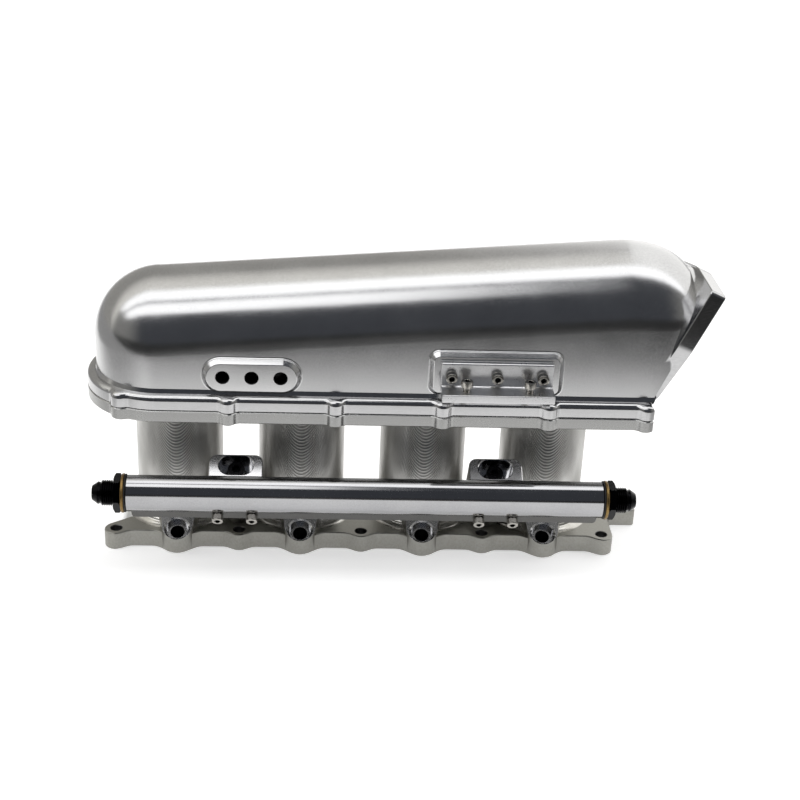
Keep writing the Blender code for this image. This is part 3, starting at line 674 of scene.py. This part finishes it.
def rim_bolt_places():
    """Centres of the bolts that hold the plenum to the runner block."""
    places = [(x, side * BOSS_HALF) for side in (-1, 1) for x in BOSS_X]
    places.append((BOSS_X[-1], 0))
    for side in (-1, 1):
        angle = side * LEFT_BOSS_ANGLE
        places.append((LEFT_CENTRE + BOSS_HALF * math.cos(angle), BOSS_HALF * math.sin(angle)))
    return places


# ---------------------------------------------------------------- runner block

def ellipse(centre_x, half_x, half_y, z, sides=96):
    turns = [2 * math.pi * i / sides for i in range(sides)]
    return [(centre_x + half_x * math.cos(a), half_y * math.sin(a), z) for a in turns]


def runner_tube(x):
    """One runner, from the fillet at the head flange to the plenum flange."""
    low = HEAD_THICKNESS
    rings = [ellipse(x, RUNNER_RADIUS + RUNNER_FILLET, RUNNER_FOOT_DEPTH + RUNNER_FILLET, low - 0.002)]
    for i in range(13):
        angle = math.pi / 2 * i / 12
        flare = RUNNER_FILLET * (1 - math.sin(angle))
        height = low + RUNNER_FILLET * (1 - math.cos(angle))
        rings.append(ellipse(x, RUNNER_RADIUS + flare, RUNNER_FOOT_DEPTH + flare, height))
    for share in (0.25, 0.5, 0.75):
        depth = RUNNER_FOOT_DEPTH + (RUNNER_RADIUS - RUNNER_FOOT_DEPTH) * share
        rings.append(ellipse(x, RUNNER_RADIUS, depth, 0.022 + (BASE_LOW - 0.022) * share))
    rings.append(ellipse(x, RUNNER_RADIUS, RUNNER_RADIUS, BASE_LOW + 0.001))
    tube = made("runner_tube", loft(rings), SCALLOPED)
    tube.data.materials.append(FILLET.material)
    for face in tube.data.polygons:
        if face.center.z < low + RUNNER_FILLET:
            face.material_index = 1
    return tube


def runner_bore(x):
    """The passage through one runner, from the port to the bellmouth."""
    rings = [
        ellipse(x, *PORT_HALF, -0.002),
        ellipse(x, *PORT_HALF, 0.004),
        ellipse(x, 0.0285, 0.024, 0.055),
        ellipse(x, BORE_RADIUS, BORE_RADIUS, 0.100),
    ]
    start = SEAM - GAP - BELLMOUTH
    for i in range(9):
        angle = math.pi / 2 * i / 8
        radius = BORE_RADIUS + BELLMOUTH * (1 - math.cos(angle))
        rings.append(ellipse(x, radius, radius, start + BELLMOUTH * math.sin(angle)))
    rings.append(ellipse(x, BORE_RADIUS + BELLMOUTH, BORE_RADIUS + BELLMOUTH, SEAM + 0.002))
    return made("runner_bore", loft(rings), SHADED_INSIDE)


def injector_boss(x):
    """A boss that widens towards its runner, cut square to its injector and polished there."""
    side = [(0.0175, -0.016), (0.0155, -0.026), (0.0135, -0.033), (0.0122, -0.0375)]
    outline = [(x - px, py) for px, py in side]
    outline += arc((x, -0.0390), 0.0121, 188, 352, 24)
    outline += [(x + px, py) for px, py in reversed(side)]
    bm = loft([[(px, py, z) for px, py in outline] for z in (0.0015, 0.040)])
    trim(bm, INJECTOR @ Vector((x, 0, INJECTOR_FACE)), INJECTOR.to_3x3() @ Vector((0, 0, 1)))
    boss = made("injector_boss", bm, MILLED)
    boss.data.materials.append(MIRROR.material)
    facing = INJECTOR.to_3x3() @ Vector((0, 0, 1))
    for face in boss.data.polygons:
        if face.normal.dot(facing) > 0.999:
            face.material_index = 1
    return boss


def build_runner_block():
    levels = [(0, 0.0004), (0.0004, 0), (HEAD_THICKNESS - 0.0009, 0)]
    levels += [(HEAD_THICKNESS - 0.0004, 0.0002), (HEAD_THICKNESS, 0.0007)]
    flange = block("runner_block_detail", head_outline(), levels, MILLED)
    plate_levels = [(BASE_LOW, 0.0008), (BASE_LOW + 0.0008, 0), (SEAM - GAP - 0.0007, 0)]
    plate_levels.append((SEAM - GAP, 0.0007))
    add = [block("base_plate", rim_outline(), plate_levels, FLANGE)]
    cut = []
    face = RAIL_FOOT_LOW - GAP
    for x in PORT_X:
        add += [runner_tube(x), injector_boss(x)]
        seat = at(x, 0, INJECTOR_FACE)
        cut.append(runner_bore(x))
        cut.append(drill(SEAT_RADIUS, -SEAT_DEPTH, 0.01, seat, MIRROR, 0.0012, 0.0, 64))
        cut.append(drill(SPRAY_RADIUS, -0.032, 0.001, seat, SHADOWED_DEEP_BORE))
    for x in MOUNT_X:
        post = at(x, MOUNT_BOLT_BACK, face)
        add.append(turned("post", [(-POST_LENGTH, POST_RADIUS), (0, POST_RADIUS)], MILLED, post))
        between = Matrix.Translation((math.copysign(PORT_PITCH, x), 0, 0))
        add.append(block("web", rectangle(0.016, 0.009, 0.002), [(0.012, 0), (0.034, 0)], MILLED, between))
        cut.append(drill(POST_HOLE, -0.021, 0.01, post, SHADED_INSIDE))
    holes = [(x, -HEAD_BOLT_Y) for x in BETWEEN_PORTS_X]
    holes += [(x, HEAD_BOLT_Y) for x in BETWEEN_PORTS_X[1:4]]
    holes += [REAR_EAR, COOLANT_EAR]
    for x, y in holes:
        where = Matrix.Translation((x, y, 0))
        cut.append(drill(HEAD_BOLT_RADIUS, -0.01, 0.02, where, SHADED_INSIDE, 0.0004, HEAD_THICKNESS))
    wide, deep = RIM_COUNTERBORE
    for x, y in rim_bolt_places():
        where = Matrix.Translation((x, y, 0))
        cut.append(drill(RIM_HOLE, BASE_LOW - 0.01, SEAM + 0.01, where, SHADED_INSIDE, sides=24))
        cut.append(drill(wide, BASE_LOW - 0.01, BASE_LOW + deep, where, SHADED_INSIDE))
    combine(flange, "UNION", add)
    combine(flange, "DIFFERENCE", cut)
    finish_piece(flange, "machined_aluminium", "manifold", "runner_block")


# ---------------------------------------------------------------- plenum

def plenum_stations(shrink):
    """(x, half width, height of the arch, height of its axis) along the plenum, shrunk all round."""
    radius = PLENUM_RADIUS - shrink
    stations = []
    low = AXIS_HEIGHT + AXIS_SLOPE * LEFT_CENTRE
    for i in range(1, 25):
        turn = math.radians(90 - 90 * i / 25 + 0.8)
        width = radius * math.cos(turn)
        stations.append((LEFT_CENTRE - radius * math.sin(turn), width, width, low))
    for i in range(33):
        x = LEFT_CENTRE + (RIGHT_START - LEFT_CENTRE) * i / 32
        stations.append((x, radius, radius, AXIS_HEIGHT + AXIS_SLOPE * x))
    length = RIGHT_END - shrink - RIGHT_START
    high = AXIS_HEIGHT + AXIS_SLOPE * RIGHT_START
    for i in range(1, 20):
        share = 0.97 * math.sin(math.pi / 2 * i / 19)
        width = radius * (1 - share**3.4) ** (1 / 3.4)
        arch = radius * (1 - share**2.3) ** (1 / 2.3)
        stations.append((RIGHT_START + length * share, width, arch, high))
    return stations


def plenum_body(name, shrink, low, plane_depth, finish):
    """The plenum's arched body, or the chamber inside it when shrunk."""
    rings = []
    sides = 56
    for x, width, arch, axis in plenum_stations(shrink):
        turns = [math.pi * i / sides for i in range(sides + 1)]
        ring = [(x, width * math.cos(a), axis + arch * math.sin(a)) for a in turns]
        rows = [low + (axis - low) * i / 8 for i in range(8)]
        rear = [(x, width, z) for z in rows]
        front = [(x, -width, z) for z in reversed(rows)]
        rings.append(rear + ring + front)
    bm = loft(rings)
    trim(bm, THROTTLE @ Vector((0, 0, -plane_depth)), THROTTLE.to_3x3() @ Vector((0, 0, 1)))
    return made(name, bm, finish)


def pad(name, outline, centre):
    """A raised pad on the front wall, hollowed at its foot and rounded at its edge."""
    profile = [(0.0045, -0.0020), (0.0045, 0.00012)]
    for i in range(2, 7):
        turn = math.pi / 2 * i / 6
        profile.append((0.0044 - 0.0011 * math.sin(turn), 0.0011 - 0.0011 * math.cos(turn)))
    profile += [(0.00325, 0.00135), (0.00305, 0.00165)]
    profile += [(0.00055, 0.00422), (0.00025, 0.00443), (0, PAD_PROUD)]
    rings = []
    for grow, proud in profile:
        rings.append([(x, y, PLENUM_RADIUS + proud) for x, y in shifted(outline(grow), centre)])
    return made(name, loft(rings), PAD, FRONT)


def skirt():
    """The narrow sloping step where the plenum's wall meets its rim."""
    right = [(x, width) for x, width, *_ in plenum_stations(0) if x > RIGHT_START - 0.001]
    outline = arc((LEFT_CENTRE, 0), PLENUM_RADIUS, 90, 270, 61)
    outline += [(x, -width) for x, width in right]
    outline += [(x, width) for x, width in reversed(right)]
    levels = [(RIM_HIGH - 0.002, -SKIRT_STEP), (RIM_HIGH + 0.0001, -SKIRT_STEP)]
    levels += [(RIM_HIGH + 0.0029, -0.00013), (RIM_HIGH + 0.0032, 0.002)]
    bm = loft([[(x, y, z) for x, y in inset(outline, d)] for z, d in levels])
    trim(bm, THROTTLE @ Vector((0, 0, -0.0047)), THROTTLE.to_3x3() @ Vector((0, 0, 1)))
    return made("skirt", bm, RIM)


def vacuum_outline(grow):
    half_x, half_z = (h + grow for h in VACUUM_HALF)
    return rectangle(half_x, half_z, half_z - 1e-5, 16)


def bracket_pad_outline(grow):
    half_x, half_z = (h + grow for h in BRACKET_PAD_HALF)
    return rectangle(half_x, half_z, 0.004 + grow, 8)


def build_plenum():
    shell = plenum_body("plenum_shell_detail", 0, SEAM + 0.002, THROTTLE_THICKNESS / 2, SATIN)
    levels = [(SEAM, 0.0007), (SEAM + 0.0007, 0)]
    for i in range(11):
        turn = math.pi / 2 * i / 10
        levels.append((RIM_HIGH - RIM_ROUND * (1 - math.sin(turn)), RIM_ROUND * (1 - math.cos(turn))))
    rim = block("rim", rim_outline(), levels, RIM)
    outline = rounded(THROTTLE_OUTLINE, THROTTLE_CORNERS)
    plate = block("plate", outline, chamfered(-THROTTLE_THICKNESS, 0, 0.0005), RIM, THROTTLE)
    neck = turned("neck", [(-0.045, NECK_RADIUS), (-0.004, NECK_RADIUS)], SATIN, THROTTLE, 96)
    pads = [
        pad("vacuum_pad", vacuum_outline, VACUUM_PAD),
        pad("bracket_pad", bracket_pad_outline, BRACKET_PAD),
    ]
    combine(shell, "UNION", [rim, plate, neck, skirt(), *pads])
    cut = [
        plenum_body("cavity", PLENUM_WALL, SEAM - 0.01, THROTTLE_THICKNESS + 0.005, SHADED_INSIDE),
        drill(THROTTLE_BORE, -0.060, 0.01, THROTTLE, SHADED_INSIDE, 0.0008, 0.0, 96),
    ]
    for x in (-THROTTLE_BOLT, THROTTLE_BOLT):
        for y in (-THROTTLE_BOLT, THROTTLE_BOLT):
            where = THROTTLE @ Matrix.Translation((x, y, 0))
            cut.append(drill(THROTTLE_HOLE, -0.0100, 0.01, where, SHADED_INSIDE, 0.0005, 0.0, 32))
    wall = PLENUM_RADIUS + PAD_PROUD
    for step in (-1, 0, 1):
        where = FRONT @ Matrix.Translation((VACUUM_PAD[0] + step * VACUUM_PITCH, VACUUM_PAD[1], 0))
        cut.append(drill(VACUUM_RADIUS, 0.040, 0.060, where, SHADOWED_DEEP_BORE, 0.0006, wall))
    for x in BRACKET_SCREW_X:
        where = FRONT @ Matrix.Translation((x, BRACKET_SCREW_Z, 0))
        cut.append(drill(M5_TAPPED, 0.0465, 0.060, where, SHADED_INSIDE, sides=24))
    for x, y in rim_bolt_places():
        where = Matrix.Translation((x, y, 0))
        cut.append(drill(RIM_HOLE, SEAM - 0.01, SEAM + 0.0095, where, SHADED_INSIDE, sides=24))
    combine(shell, "DIFFERENCE", cut)
    finish_piece(shell, "blasted_aluminium", "manifold", "plenum_shell", sharp=28)


# ---------------------------------------------------------------- screws

def screw_mesh(size, length, finish, name):
    """A socket head cap screw along z: broken edges, a hexagon socket and a grooved thread."""
    shank, head, height, flats, pitch = size
    profile = [(-length, shank * 0.75), (-length + 0.0006, shank)]
    turns = int((length - 0.002) / pitch)
    for i in range(turns):
        low = -length + 0.0008 + i * pitch
        root = shank * 0.84
        profile += [(low + pitch * 0.10, shank), (low + pitch * 0.5, root), (low + pitch * 0.90, shank)]
    profile += [(-0.0002, shank), (0, head - 0.0003), (0.0003, head)]
    profile += [(height - 0.0006, head), (height - 0.0002, head - 0.00025), (height, head - 0.0008)]
    body = turned(name, profile, finish, sides=40)
    corner = flats / math.sqrt(3)
    # The socket's walls take the black oxide finish, which on the stainless screws is painted shade inside
    # the socket.
    socket = turned("socket", [(height * 0.42, corner), (height * 1.2, corner)], BLACK_STEEL, None, 6)
    cone = [(height - 0.0004, flats / 2 - 0.0001), (height + 0.001, flats / 2 + 0.0013)]
    rim = turned("socket_rim", cone, finish)
    combine(body, "DIFFERENCE", [socket, rim])
    mesh = body.data
    bpy.data.objects.remove(body)
    return mesh


def screws(nodes, mesh, slot, places, bodies=None):
    """Copies of one screw, each standing in for a node of the part."""
    for i, (node, place) in enumerate(zip(nodes, places)):
        obj = bpy.data.objects.new(node + "_detail", mesh)
        bpy.context.scene.collection.objects.link(obj)
        obj.matrix_world = place
        finish_piece(obj, slot, bodies[i] if bodies else "manifold", node)


def rail_screw_frames(clearance):
    """Places of the four small screws in the foot of the rail."""
    facing = columns((1, 0, 0), (0, 0, 1), (0, -1, 0), (0, 0, 0))
    spots = [x + side * MOUNT_SCREW_OFFSET for x in MOUNT_X for side in (-1, 1)]
    return [at(x, -RAIL_FOOT_HALF - clearance, RAIL_SCREW_LOW) @ facing for x in spots]


def build_screws():
    flip = Matrix.Rotation(math.pi, 4, "X")
    under_head = BASE_LOW + RIM_COUNTERBORE[1] - GAP
    places = [Matrix.Translation((x, y, under_head)) @ flip for x, y in rim_bolt_places()]
    nodes = [f"plenum_bolt_{i + 1:02d}" for i in range(len(places))]
    screws(nodes, screw_mesh(M6, 0.012, STEEL, "m6_screw"), "steel", places)

    front = PLENUM_RADIUS + PAD_PROUD + GAP + BRACKET_PLATE
    places = [FRONT @ Matrix.Translation((x, BRACKET_SCREW_Z, front + GAP)) for x in BRACKET_SCREW_X]
    nodes = ["bracket_screw_left", "bracket_screw_middle", "bracket_screw_right"]
    screws(nodes, screw_mesh(M5, 0.010, STEEL, "m5_screw"), "steel", places)

    ledge = BRACKET_Z[0] + LEDGE_THICKNESS
    ledge_y = -front - BRACKET_LEDGE / 2
    places = [Matrix.Translation((x, ledge_y, ledge + LEDGE_SCREW_PROUD)) for x in LEDGE_SCREW_X]
    nodes = ["clamp_screw_left", "clamp_screw_right"]
    screws(nodes, screw_mesh(M5, 0.012, STEEL, "m5_clamp_screw"), "steel", places, nodes)

    nodes = [f"rail_screw_{i + 1}" for i in range(4)]
    screws(nodes, screw_mesh(M5, 0.030, STEEL, "m5_long_screw"), "steel", rail_screw_frames(GAP))

    head_floor = MOUNT_TOP - MOUNT_POCKET_DEPTH + GAP
    places = [at(x, MOUNT_BOLT_BACK, head_floor) for x in MOUNT_X]
    mesh = screw_mesh(M8, 0.026, BLACK_STEEL, "m8_screw")
    screws(["rail_bolt_left", "rail_bolt_right"], mesh, "black_steel", places)


# ---------------------------------------------------------------- bracket

def build_bracket():
    back = PLENUM_RADIUS + PAD_PROUD + GAP
    front = back + BRACKET_PLATE
    low, high = BRACKET_Z
    ledge = low + LEDGE_THICKNESS
    corners = [
        (-back, low),
        (-back, high),
        (-front, high),
        (-front, ledge),
        (-front - BRACKET_LEDGE, ledge),
        (-front - BRACKET_LEDGE, low),
    ]
    outline = rounded(corners, [0.0006, 0.0006, 0.0012, 0.0012, 0.0006, 0.0006], 4)
    angle = block("accessory_bracket_detail", outline, chamfered(*BRACKET_X, 0.0003), ANGLE, ALONG)
    cut = []
    for x in BRACKET_SCREW_X:
        where = FRONT @ Matrix.Translation((x, BRACKET_SCREW_Z, 0))
        cut.append(drill(M5_CLEARANCE, 0.05, 0.07, where, ANGLE, sides=24))
    for x in LEDGE_SCREW_X:
        where = Matrix.Translation((x, -front - BRACKET_LEDGE / 2, 0))
        cut.append(drill(M5_CLEARANCE, low - 0.01, ledge + 0.01, where, ANGLE, 0.0004, ledge, 32))
    combine(angle, "DIFFERENCE", cut)
    finish_piece(angle, "polished_aluminium", "manifold", "accessory_bracket")


# ---------------------------------------------------------------- fuel rail

def rail_turn():
    """The injector frame turned so that its z runs along the rail and its y along the injectors."""
    return INJECTOR @ columns((0, 1, 0), (0, 0, 1), (1, 0, 0), (0, 0, 0))


def build_rail():
    low, high = RAIL_X
    edge = 0.0006
    profile = [(low, RAIL_RADIUS - edge), (low + edge, RAIL_RADIUS)]
    profile += [(high - edge, RAIL_RADIUS), (high, RAIL_RADIUS - edge)]
    rail = turned("fuel_rail_detail", profile, POLISHED, rail_turn(), 128)
    inner_low, inner_high = low + RAIL_FOOT_INSET, high - RAIL_FOOT_INSET
    corners = [(inner_low, RAIL_FOOT_LOW), (inner_high, RAIL_FOOT_LOW), (inner_high, 0), (inner_low, 0)]
    side_on = INJECTOR @ columns((1, 0, 0), (0, 0, 1), (0, -1, 0), (0, 0, 0))
    half = RAIL_FOOT_HALF
    outline = rounded(corners, [0.003, 0.003, 0.001, 0.001])
    foot = block("foot", outline, chamfered(-half, half, 0.0006), SHADED_FOOT, side_on)
    combine(rail, "UNION", [foot])
    lathe = rail_turn()
    cut = [drill(RAIL_BORE, low - 0.01, high + 0.01, lathe, SHADED_INSIDE)]
    cut.append(drill(FITTING_BORE, low - 0.01, low + FITTING_DEPTH, lathe, SHADED_INSIDE))
    cut.append(drill(FITTING_BORE, high - FITTING_DEPTH, high + 0.01, lathe, SHADED_INSIDE))
    for x in PORT_X:
        cut.append(drill(CUP_RADIUS, RAIL_FOOT_LOW - 0.01, CUP_TOP, at(x, 0, 0), MIRROR))
        cut.append(drill(FUEL_WAY, CUP_TOP - 0.001, 0, at(x, 0, 0), MIRROR, sides=24))
    for place in rail_screw_frames(0):
        cut.append(drill(M5_TAPPED, -0.03, 0.01, place, SHADED_INSIDE, sides=24))
    combine(rail, "DIFFERENCE", cut)
    finish_piece(rail, "polished_aluminium", "manifold", "fuel_rail")


def fitting_profile(face):
    """The adapter's outline: rail thread, relief, hose thread, neck and flared nose."""
    profile = [(-0.010, 0.0093), (face + 0.002, 0.0093), (face + 0.004, 0.0082)]
    face -= THREAD_SETBACK
    profile += [(face + 0.0074, 0.0082), (face + 0.0080, 0.0086)]
    for i in range(5):
        low = face + 0.0080 + i * THREAD_PITCH
        profile += [(low + 0.0004, 0.0095), (low + 0.0007, 0.0095), (low + 0.0012, 0.0086)]
    profile += [(face + 0.0164, 0.0080), (face + 0.0176, 0.0080), (face + 0.0178, 0.0083)]
    profile += [(face + 0.0184, 0.0083), (face + 0.0224, 0.0055), (face + 0.0226, 0.0052)]
    return profile


def build_fittings():
    for side, end, turn in (("left", RAIL_X[0], math.pi), ("right", RAIL_X[1], 0)):
        place = INJECTOR @ Matrix.Translation((end, 0, 0)) @ Matrix.Rotation(turn, 4, "Z")
        place = place @ columns((0, 1, 0), (0, 0, 1), (1, 0, 0), (0, 0, 0))
        profile = ring_profile(GAP, SEAL_HIGH, SEAL_RADIUS)
        seal = turned(f"fitting_seal_{side}_detail", profile, RUBBER, place)
        combine(seal, "DIFFERENCE", [drill(RING_BORE, -0.01, 0.01, place, RUBBER)])
        finish_piece(seal, "rubber", "manifold", f"fitting_seal_{side}")
        profile = ring_profile(SEAL_HIGH + GAP, WASHER_HIGH, WASHER_RADIUS)
        washer = turned(f"fitting_washer_{side}_detail", profile, WASHER, place)
        combine(washer, "DIFFERENCE", [drill(RING_BORE, -0.01, 0.01, place, WASHER)])
        finish_piece(washer, "gold_washer", "manifold", f"fitting_washer_{side}")
        face = WASHER_HIGH + GAP
        high = face + HEXAGON_THICKNESS
        upright = place @ Matrix.Rotation(math.radians(30), 4, "Z")
        hexagon = [(face, HEXAGON_CORNER), (high, HEXAGON_CORNER)]
        fitting = turned(f"hose_fitting_{side}_detail", hexagon, ANODISED, upright, 6)
        beyond = HEXAGON_CORNER + 0.0002
        bevel = [(face, HEXAGON_BEVEL), (face + 0.0011, beyond)]
        bevel += [(high - 0.0011, beyond), (high, HEXAGON_BEVEL)]
        combine(fitting, "INTERSECT", [turned("bevel", bevel, ANODISED, place)])
        combine(fitting, "UNION", [turned("adapter", fitting_profile(face), ANODISED, place)])
        combine(fitting, "DIFFERENCE", [drill(HOSE_WAY, -0.02, 0.05, place, ANODISED)])
        finish_piece(fitting, "black_anodised", "manifold", f"hose_fitting_{side}")


def ring_profile(low, high, radius):
    """A flat ring's rim, rounded a little."""
    edge = min(0.0004, (high - low) / 3)
    return [(low, radius - edge), (low + edge, radius), (high - edge, radius), (high, radius - edge)]


def build_mounts():
    back, half = RAIL_FOOT_HALF + GAP, MOUNT_HALF
    far = back + MOUNT_DEPTH
    corners = [(-half, back), (half, back), (half, far), (-half, far)]
    outline = rounded(corners, [0.001, 0.001, 0.0065, 0.0065], 10)
    levels = [(RAIL_FOOT_LOW, 0), (MOUNT_TOP - 0.0007, 0), (MOUNT_TOP, 0.0007)]
    for side, x in zip(("left", "right"), MOUNT_X):
        mount = block(f"rail_mount_{side}_detail", outline, levels, BLOCK, at(x, 0, 0))
        floor = MOUNT_TOP - MOUNT_POCKET_DEPTH
        hole = at(x, MOUNT_BOLT_BACK, 0)
        edge = 0.0005
        flare = [(floor, edge), (MOUNT_TOP - edge, edge), (MOUNT_TOP + edge, -edge), (0.02, -edge)]
        through = [(-0.03, 0), (floor + 0.001, 0)]
        cut = [
            block("pocket", rectangle(*MOUNT_POCKET_HALF, 0.0088, 16), flare, MIRROR, hole),
            block("slot", rectangle(*MOUNT_SLOT_HALF, 0.0044, 12), through, MIRROR, hole),
            drill(RAIL_RADIUS + GAP, x - 0.03, x + 0.03, rail_turn(), MIRROR, sides=128),
        ]
        for place in rail_screw_frames(0):
            if abs(place.translation.x - x) < 2 * MOUNT_SCREW_OFFSET:
                cut.append(drill(M5_TAPPED, -0.031, 0.0, place, SHADED_INSIDE, sides=24))
        combine(mount, "DIFFERENCE", cut)
        finish_piece(mount, "polished_aluminium", "manifold", f"rail_mount_{side}")


# ---------------------------------------------------------------- stage

def build_stage():
    """A pale glowing floor with painted shade: dark far in front of the camera's view and out to the
    sides, with a painted shadow where its glow is cut under the manifold; a soft sky and the camera.
    """
    bm = bmesh.new()
    bmesh.ops.create_grid(bm, x_segments=1, y_segments=1, size=12)
    floor = Nodes("pale_floor_painted_shade")
    x, y, _ = floor.axes()
    # Painted shade: the floor's colour and glow fall off far in front and out to the sides, standing in
    # for the dark room that the metal mirrors.
    painted_shade = floor.between(y, 0.06, 1.0, -0.435, -0.338)
    reach = floor.maths("SUBTRACT", floor.maths("ABSOLUTE", x), floor.maths("MULTIPLY", y, 0.32))
    painted_shade = floor.maths("MULTIPLY", painted_shade, floor.between(reach, 1.0, 0.3, 0.40, 0.56))
    # Painted shadow: the floor's glow is cut out under the manifold's footprint.
    under = floor.maths("SUBTRACT", floor.maths("ABSOLUTE", x), 0.185)
    under = floor.maths("MAXIMUM", under, floor.maths("SUBTRACT", floor.maths("ABSOLUTE", y), 0.036))
    glow_with_painted_shade = floor.maths("MULTIPLY", painted_shade, floor.between(under, 0, 1, 0.0, 0.004))
    floor.join(floor.blend(painted_shade, (0.0, 0.0, 0.0), (FLOOR_TONE,) * 3), floor.shader.inputs["Base Color"])
    floor.join(floor.blend(glow_with_painted_shade, (0.0, 0.0, 0.0), (1.0, 1.0, 1.0)), floor.shader.inputs["Emission Color"])
    floor.shader.inputs["Emission Strength"].default_value = FLOOR_GLOW
    floor.shader.inputs["Roughness"].default_value = 0.9
    floor.shader.inputs["Specular IOR Level"].default_value = 0.1
    made("floor", bm, floor, Matrix.Translation((0, 0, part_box("runner_block")[0].z - 0.0002)))
    build_sky()
    build_camera()


def build_sky():
    """Two soft lights overhead, a pale room behind and a dark one in front, by direction."""
    world = bpy.data.worlds.new("studio")
    bpy.context.scene.world = world
    world.use_nodes = True
    tree = world.node_tree
    way = tree.nodes.new("ShaderNodeTexCoord")
    parts = tree.nodes.new("ShaderNodeSeparateXYZ")
    tree.links.new(way.outputs["Generated"], parts.inputs[0])
    x, y, z = parts.outputs

    def put(value, socket):
        if isinstance(value, bpy.types.NodeSocket):
            tree.links.new(value, socket)
        else:
            socket.default_value = value

    def maths(operation, first, second):
        node = tree.nodes.new("ShaderNodeMath")
        node.operation = operation
        put(first, node.inputs[0])
        put(second, node.inputs[1])
        return node.outputs[0]

    def step(value, start, end, low=0.0, high=1.0):
        node = tree.nodes.new("ShaderNodeMapRange")
        node.interpolation_type = "SMOOTHSTEP"
        put(value, node.inputs["Value"])
        for key, number in (("From Min", start), ("From Max", end), ("To Min", low), ("To Max", high)):
            node.inputs[key].default_value = number
        return node.outputs["Result"]

    def blend(factor, first, second):
        node = tree.nodes.new("ShaderNodeMix")
        node.data_type = "RGBA"
        put(factor, node.inputs[0])
        put(first if isinstance(first, bpy.types.NodeSocket) else (*first, 1), node.inputs[6])
        put(second if isinstance(second, bpy.types.NodeSocket) else (*second, 1), node.inputs[7])
        return node.outputs[2]

    up = maths("MAXIMUM", z, 0.04)
    across = maths("DIVIDE", x, up)
    along = maths("DIVIDE", y, up)
    left = maths("MULTIPLY", step(along, -0.90, -0.79), step(across, -0.05, 0.07, 1, 0))
    left = maths("MULTIPLY", left, step(along, -0.44, -0.30, 1, 0))
    top = maths("MULTIPLY", step(along, -0.35, -0.21), step(along, 0.00, 0.18, 1, 0))
    lit = maths("MAXIMUM", left, top)
    dim = step(maths("ABSOLUTE", across, 0), 1.2, 2.4, 1, 0)
    lit = maths("MULTIPLY", maths("MULTIPLY", lit, dim), step(z, 0.02, 0.12))
    rear = step(y, -0.12, 0.12)
    bright = step(along, 0.25, 1.1, 1, 0)
    low_wall, high_wall, right_wall = (0.44, 0.43, 0.405), (1.08, 1.06, 0.99), (1.45, 1.44, 1.41)
    dark_front, dim_side = (0.07, 0.075, 0.086), (0.30, 0.297, 0.285)
    room = blend(bright, low_wall, high_wall)
    room = blend(step(x, 0.0, 0.25), room, right_wall)
    sides = blend(step(maths("ABSOLUTE", x, 0), 0.45, 0.9), dark_front, dim_side)
    colour = blend(lit, blend(rear, sides, room), (LAMP,) * 3)
    tree.links.new(colour, tree.nodes["Background"].inputs["Color"])


def build_camera():
    data = bpy.data.cameras.new("camera")
    data.lens = CAMERA_LENS
    data.sensor_width = 36
    data.clip_start, data.clip_end = 0.05, 50
    camera = bpy.data.objects.new("camera", data)
    bpy.context.scene.collection.objects.link(camera)
    ahead = Vector((
        math.sin(CAMERA_YAW) * math.cos(CAMERA_DOWN),
        math.cos(CAMERA_YAW) * math.cos(CAMERA_DOWN),
        -math.sin(CAMERA_DOWN),
    ))
    level = Vector((math.cos(CAMERA_YAW), -math.sin(CAMERA_YAW), 0))
    down = ahead.cross(level)
    across = math.cos(CAMERA_ROLL) * level - math.sin(CAMERA_ROLL) * down
    below = math.sin(CAMERA_ROLL) * level + math.cos(CAMERA_ROLL) * down
    camera.matrix_world = columns(across, -below, -ahead, CAMERA_PLACE)
    bpy.context.scene.camera = camera
    bpy.context.scene.view_settings.view_transform = "Standard"


build_runner_block()
build_plenum()
build_screws()
build_bracket()
build_rail()
build_fittings()
build_mounts()
build_stage()
for kept in ("plenum_seal",):
    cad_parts[kept].data.materials.clear()
    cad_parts[kept].data.materials.append(RUBBER.material)
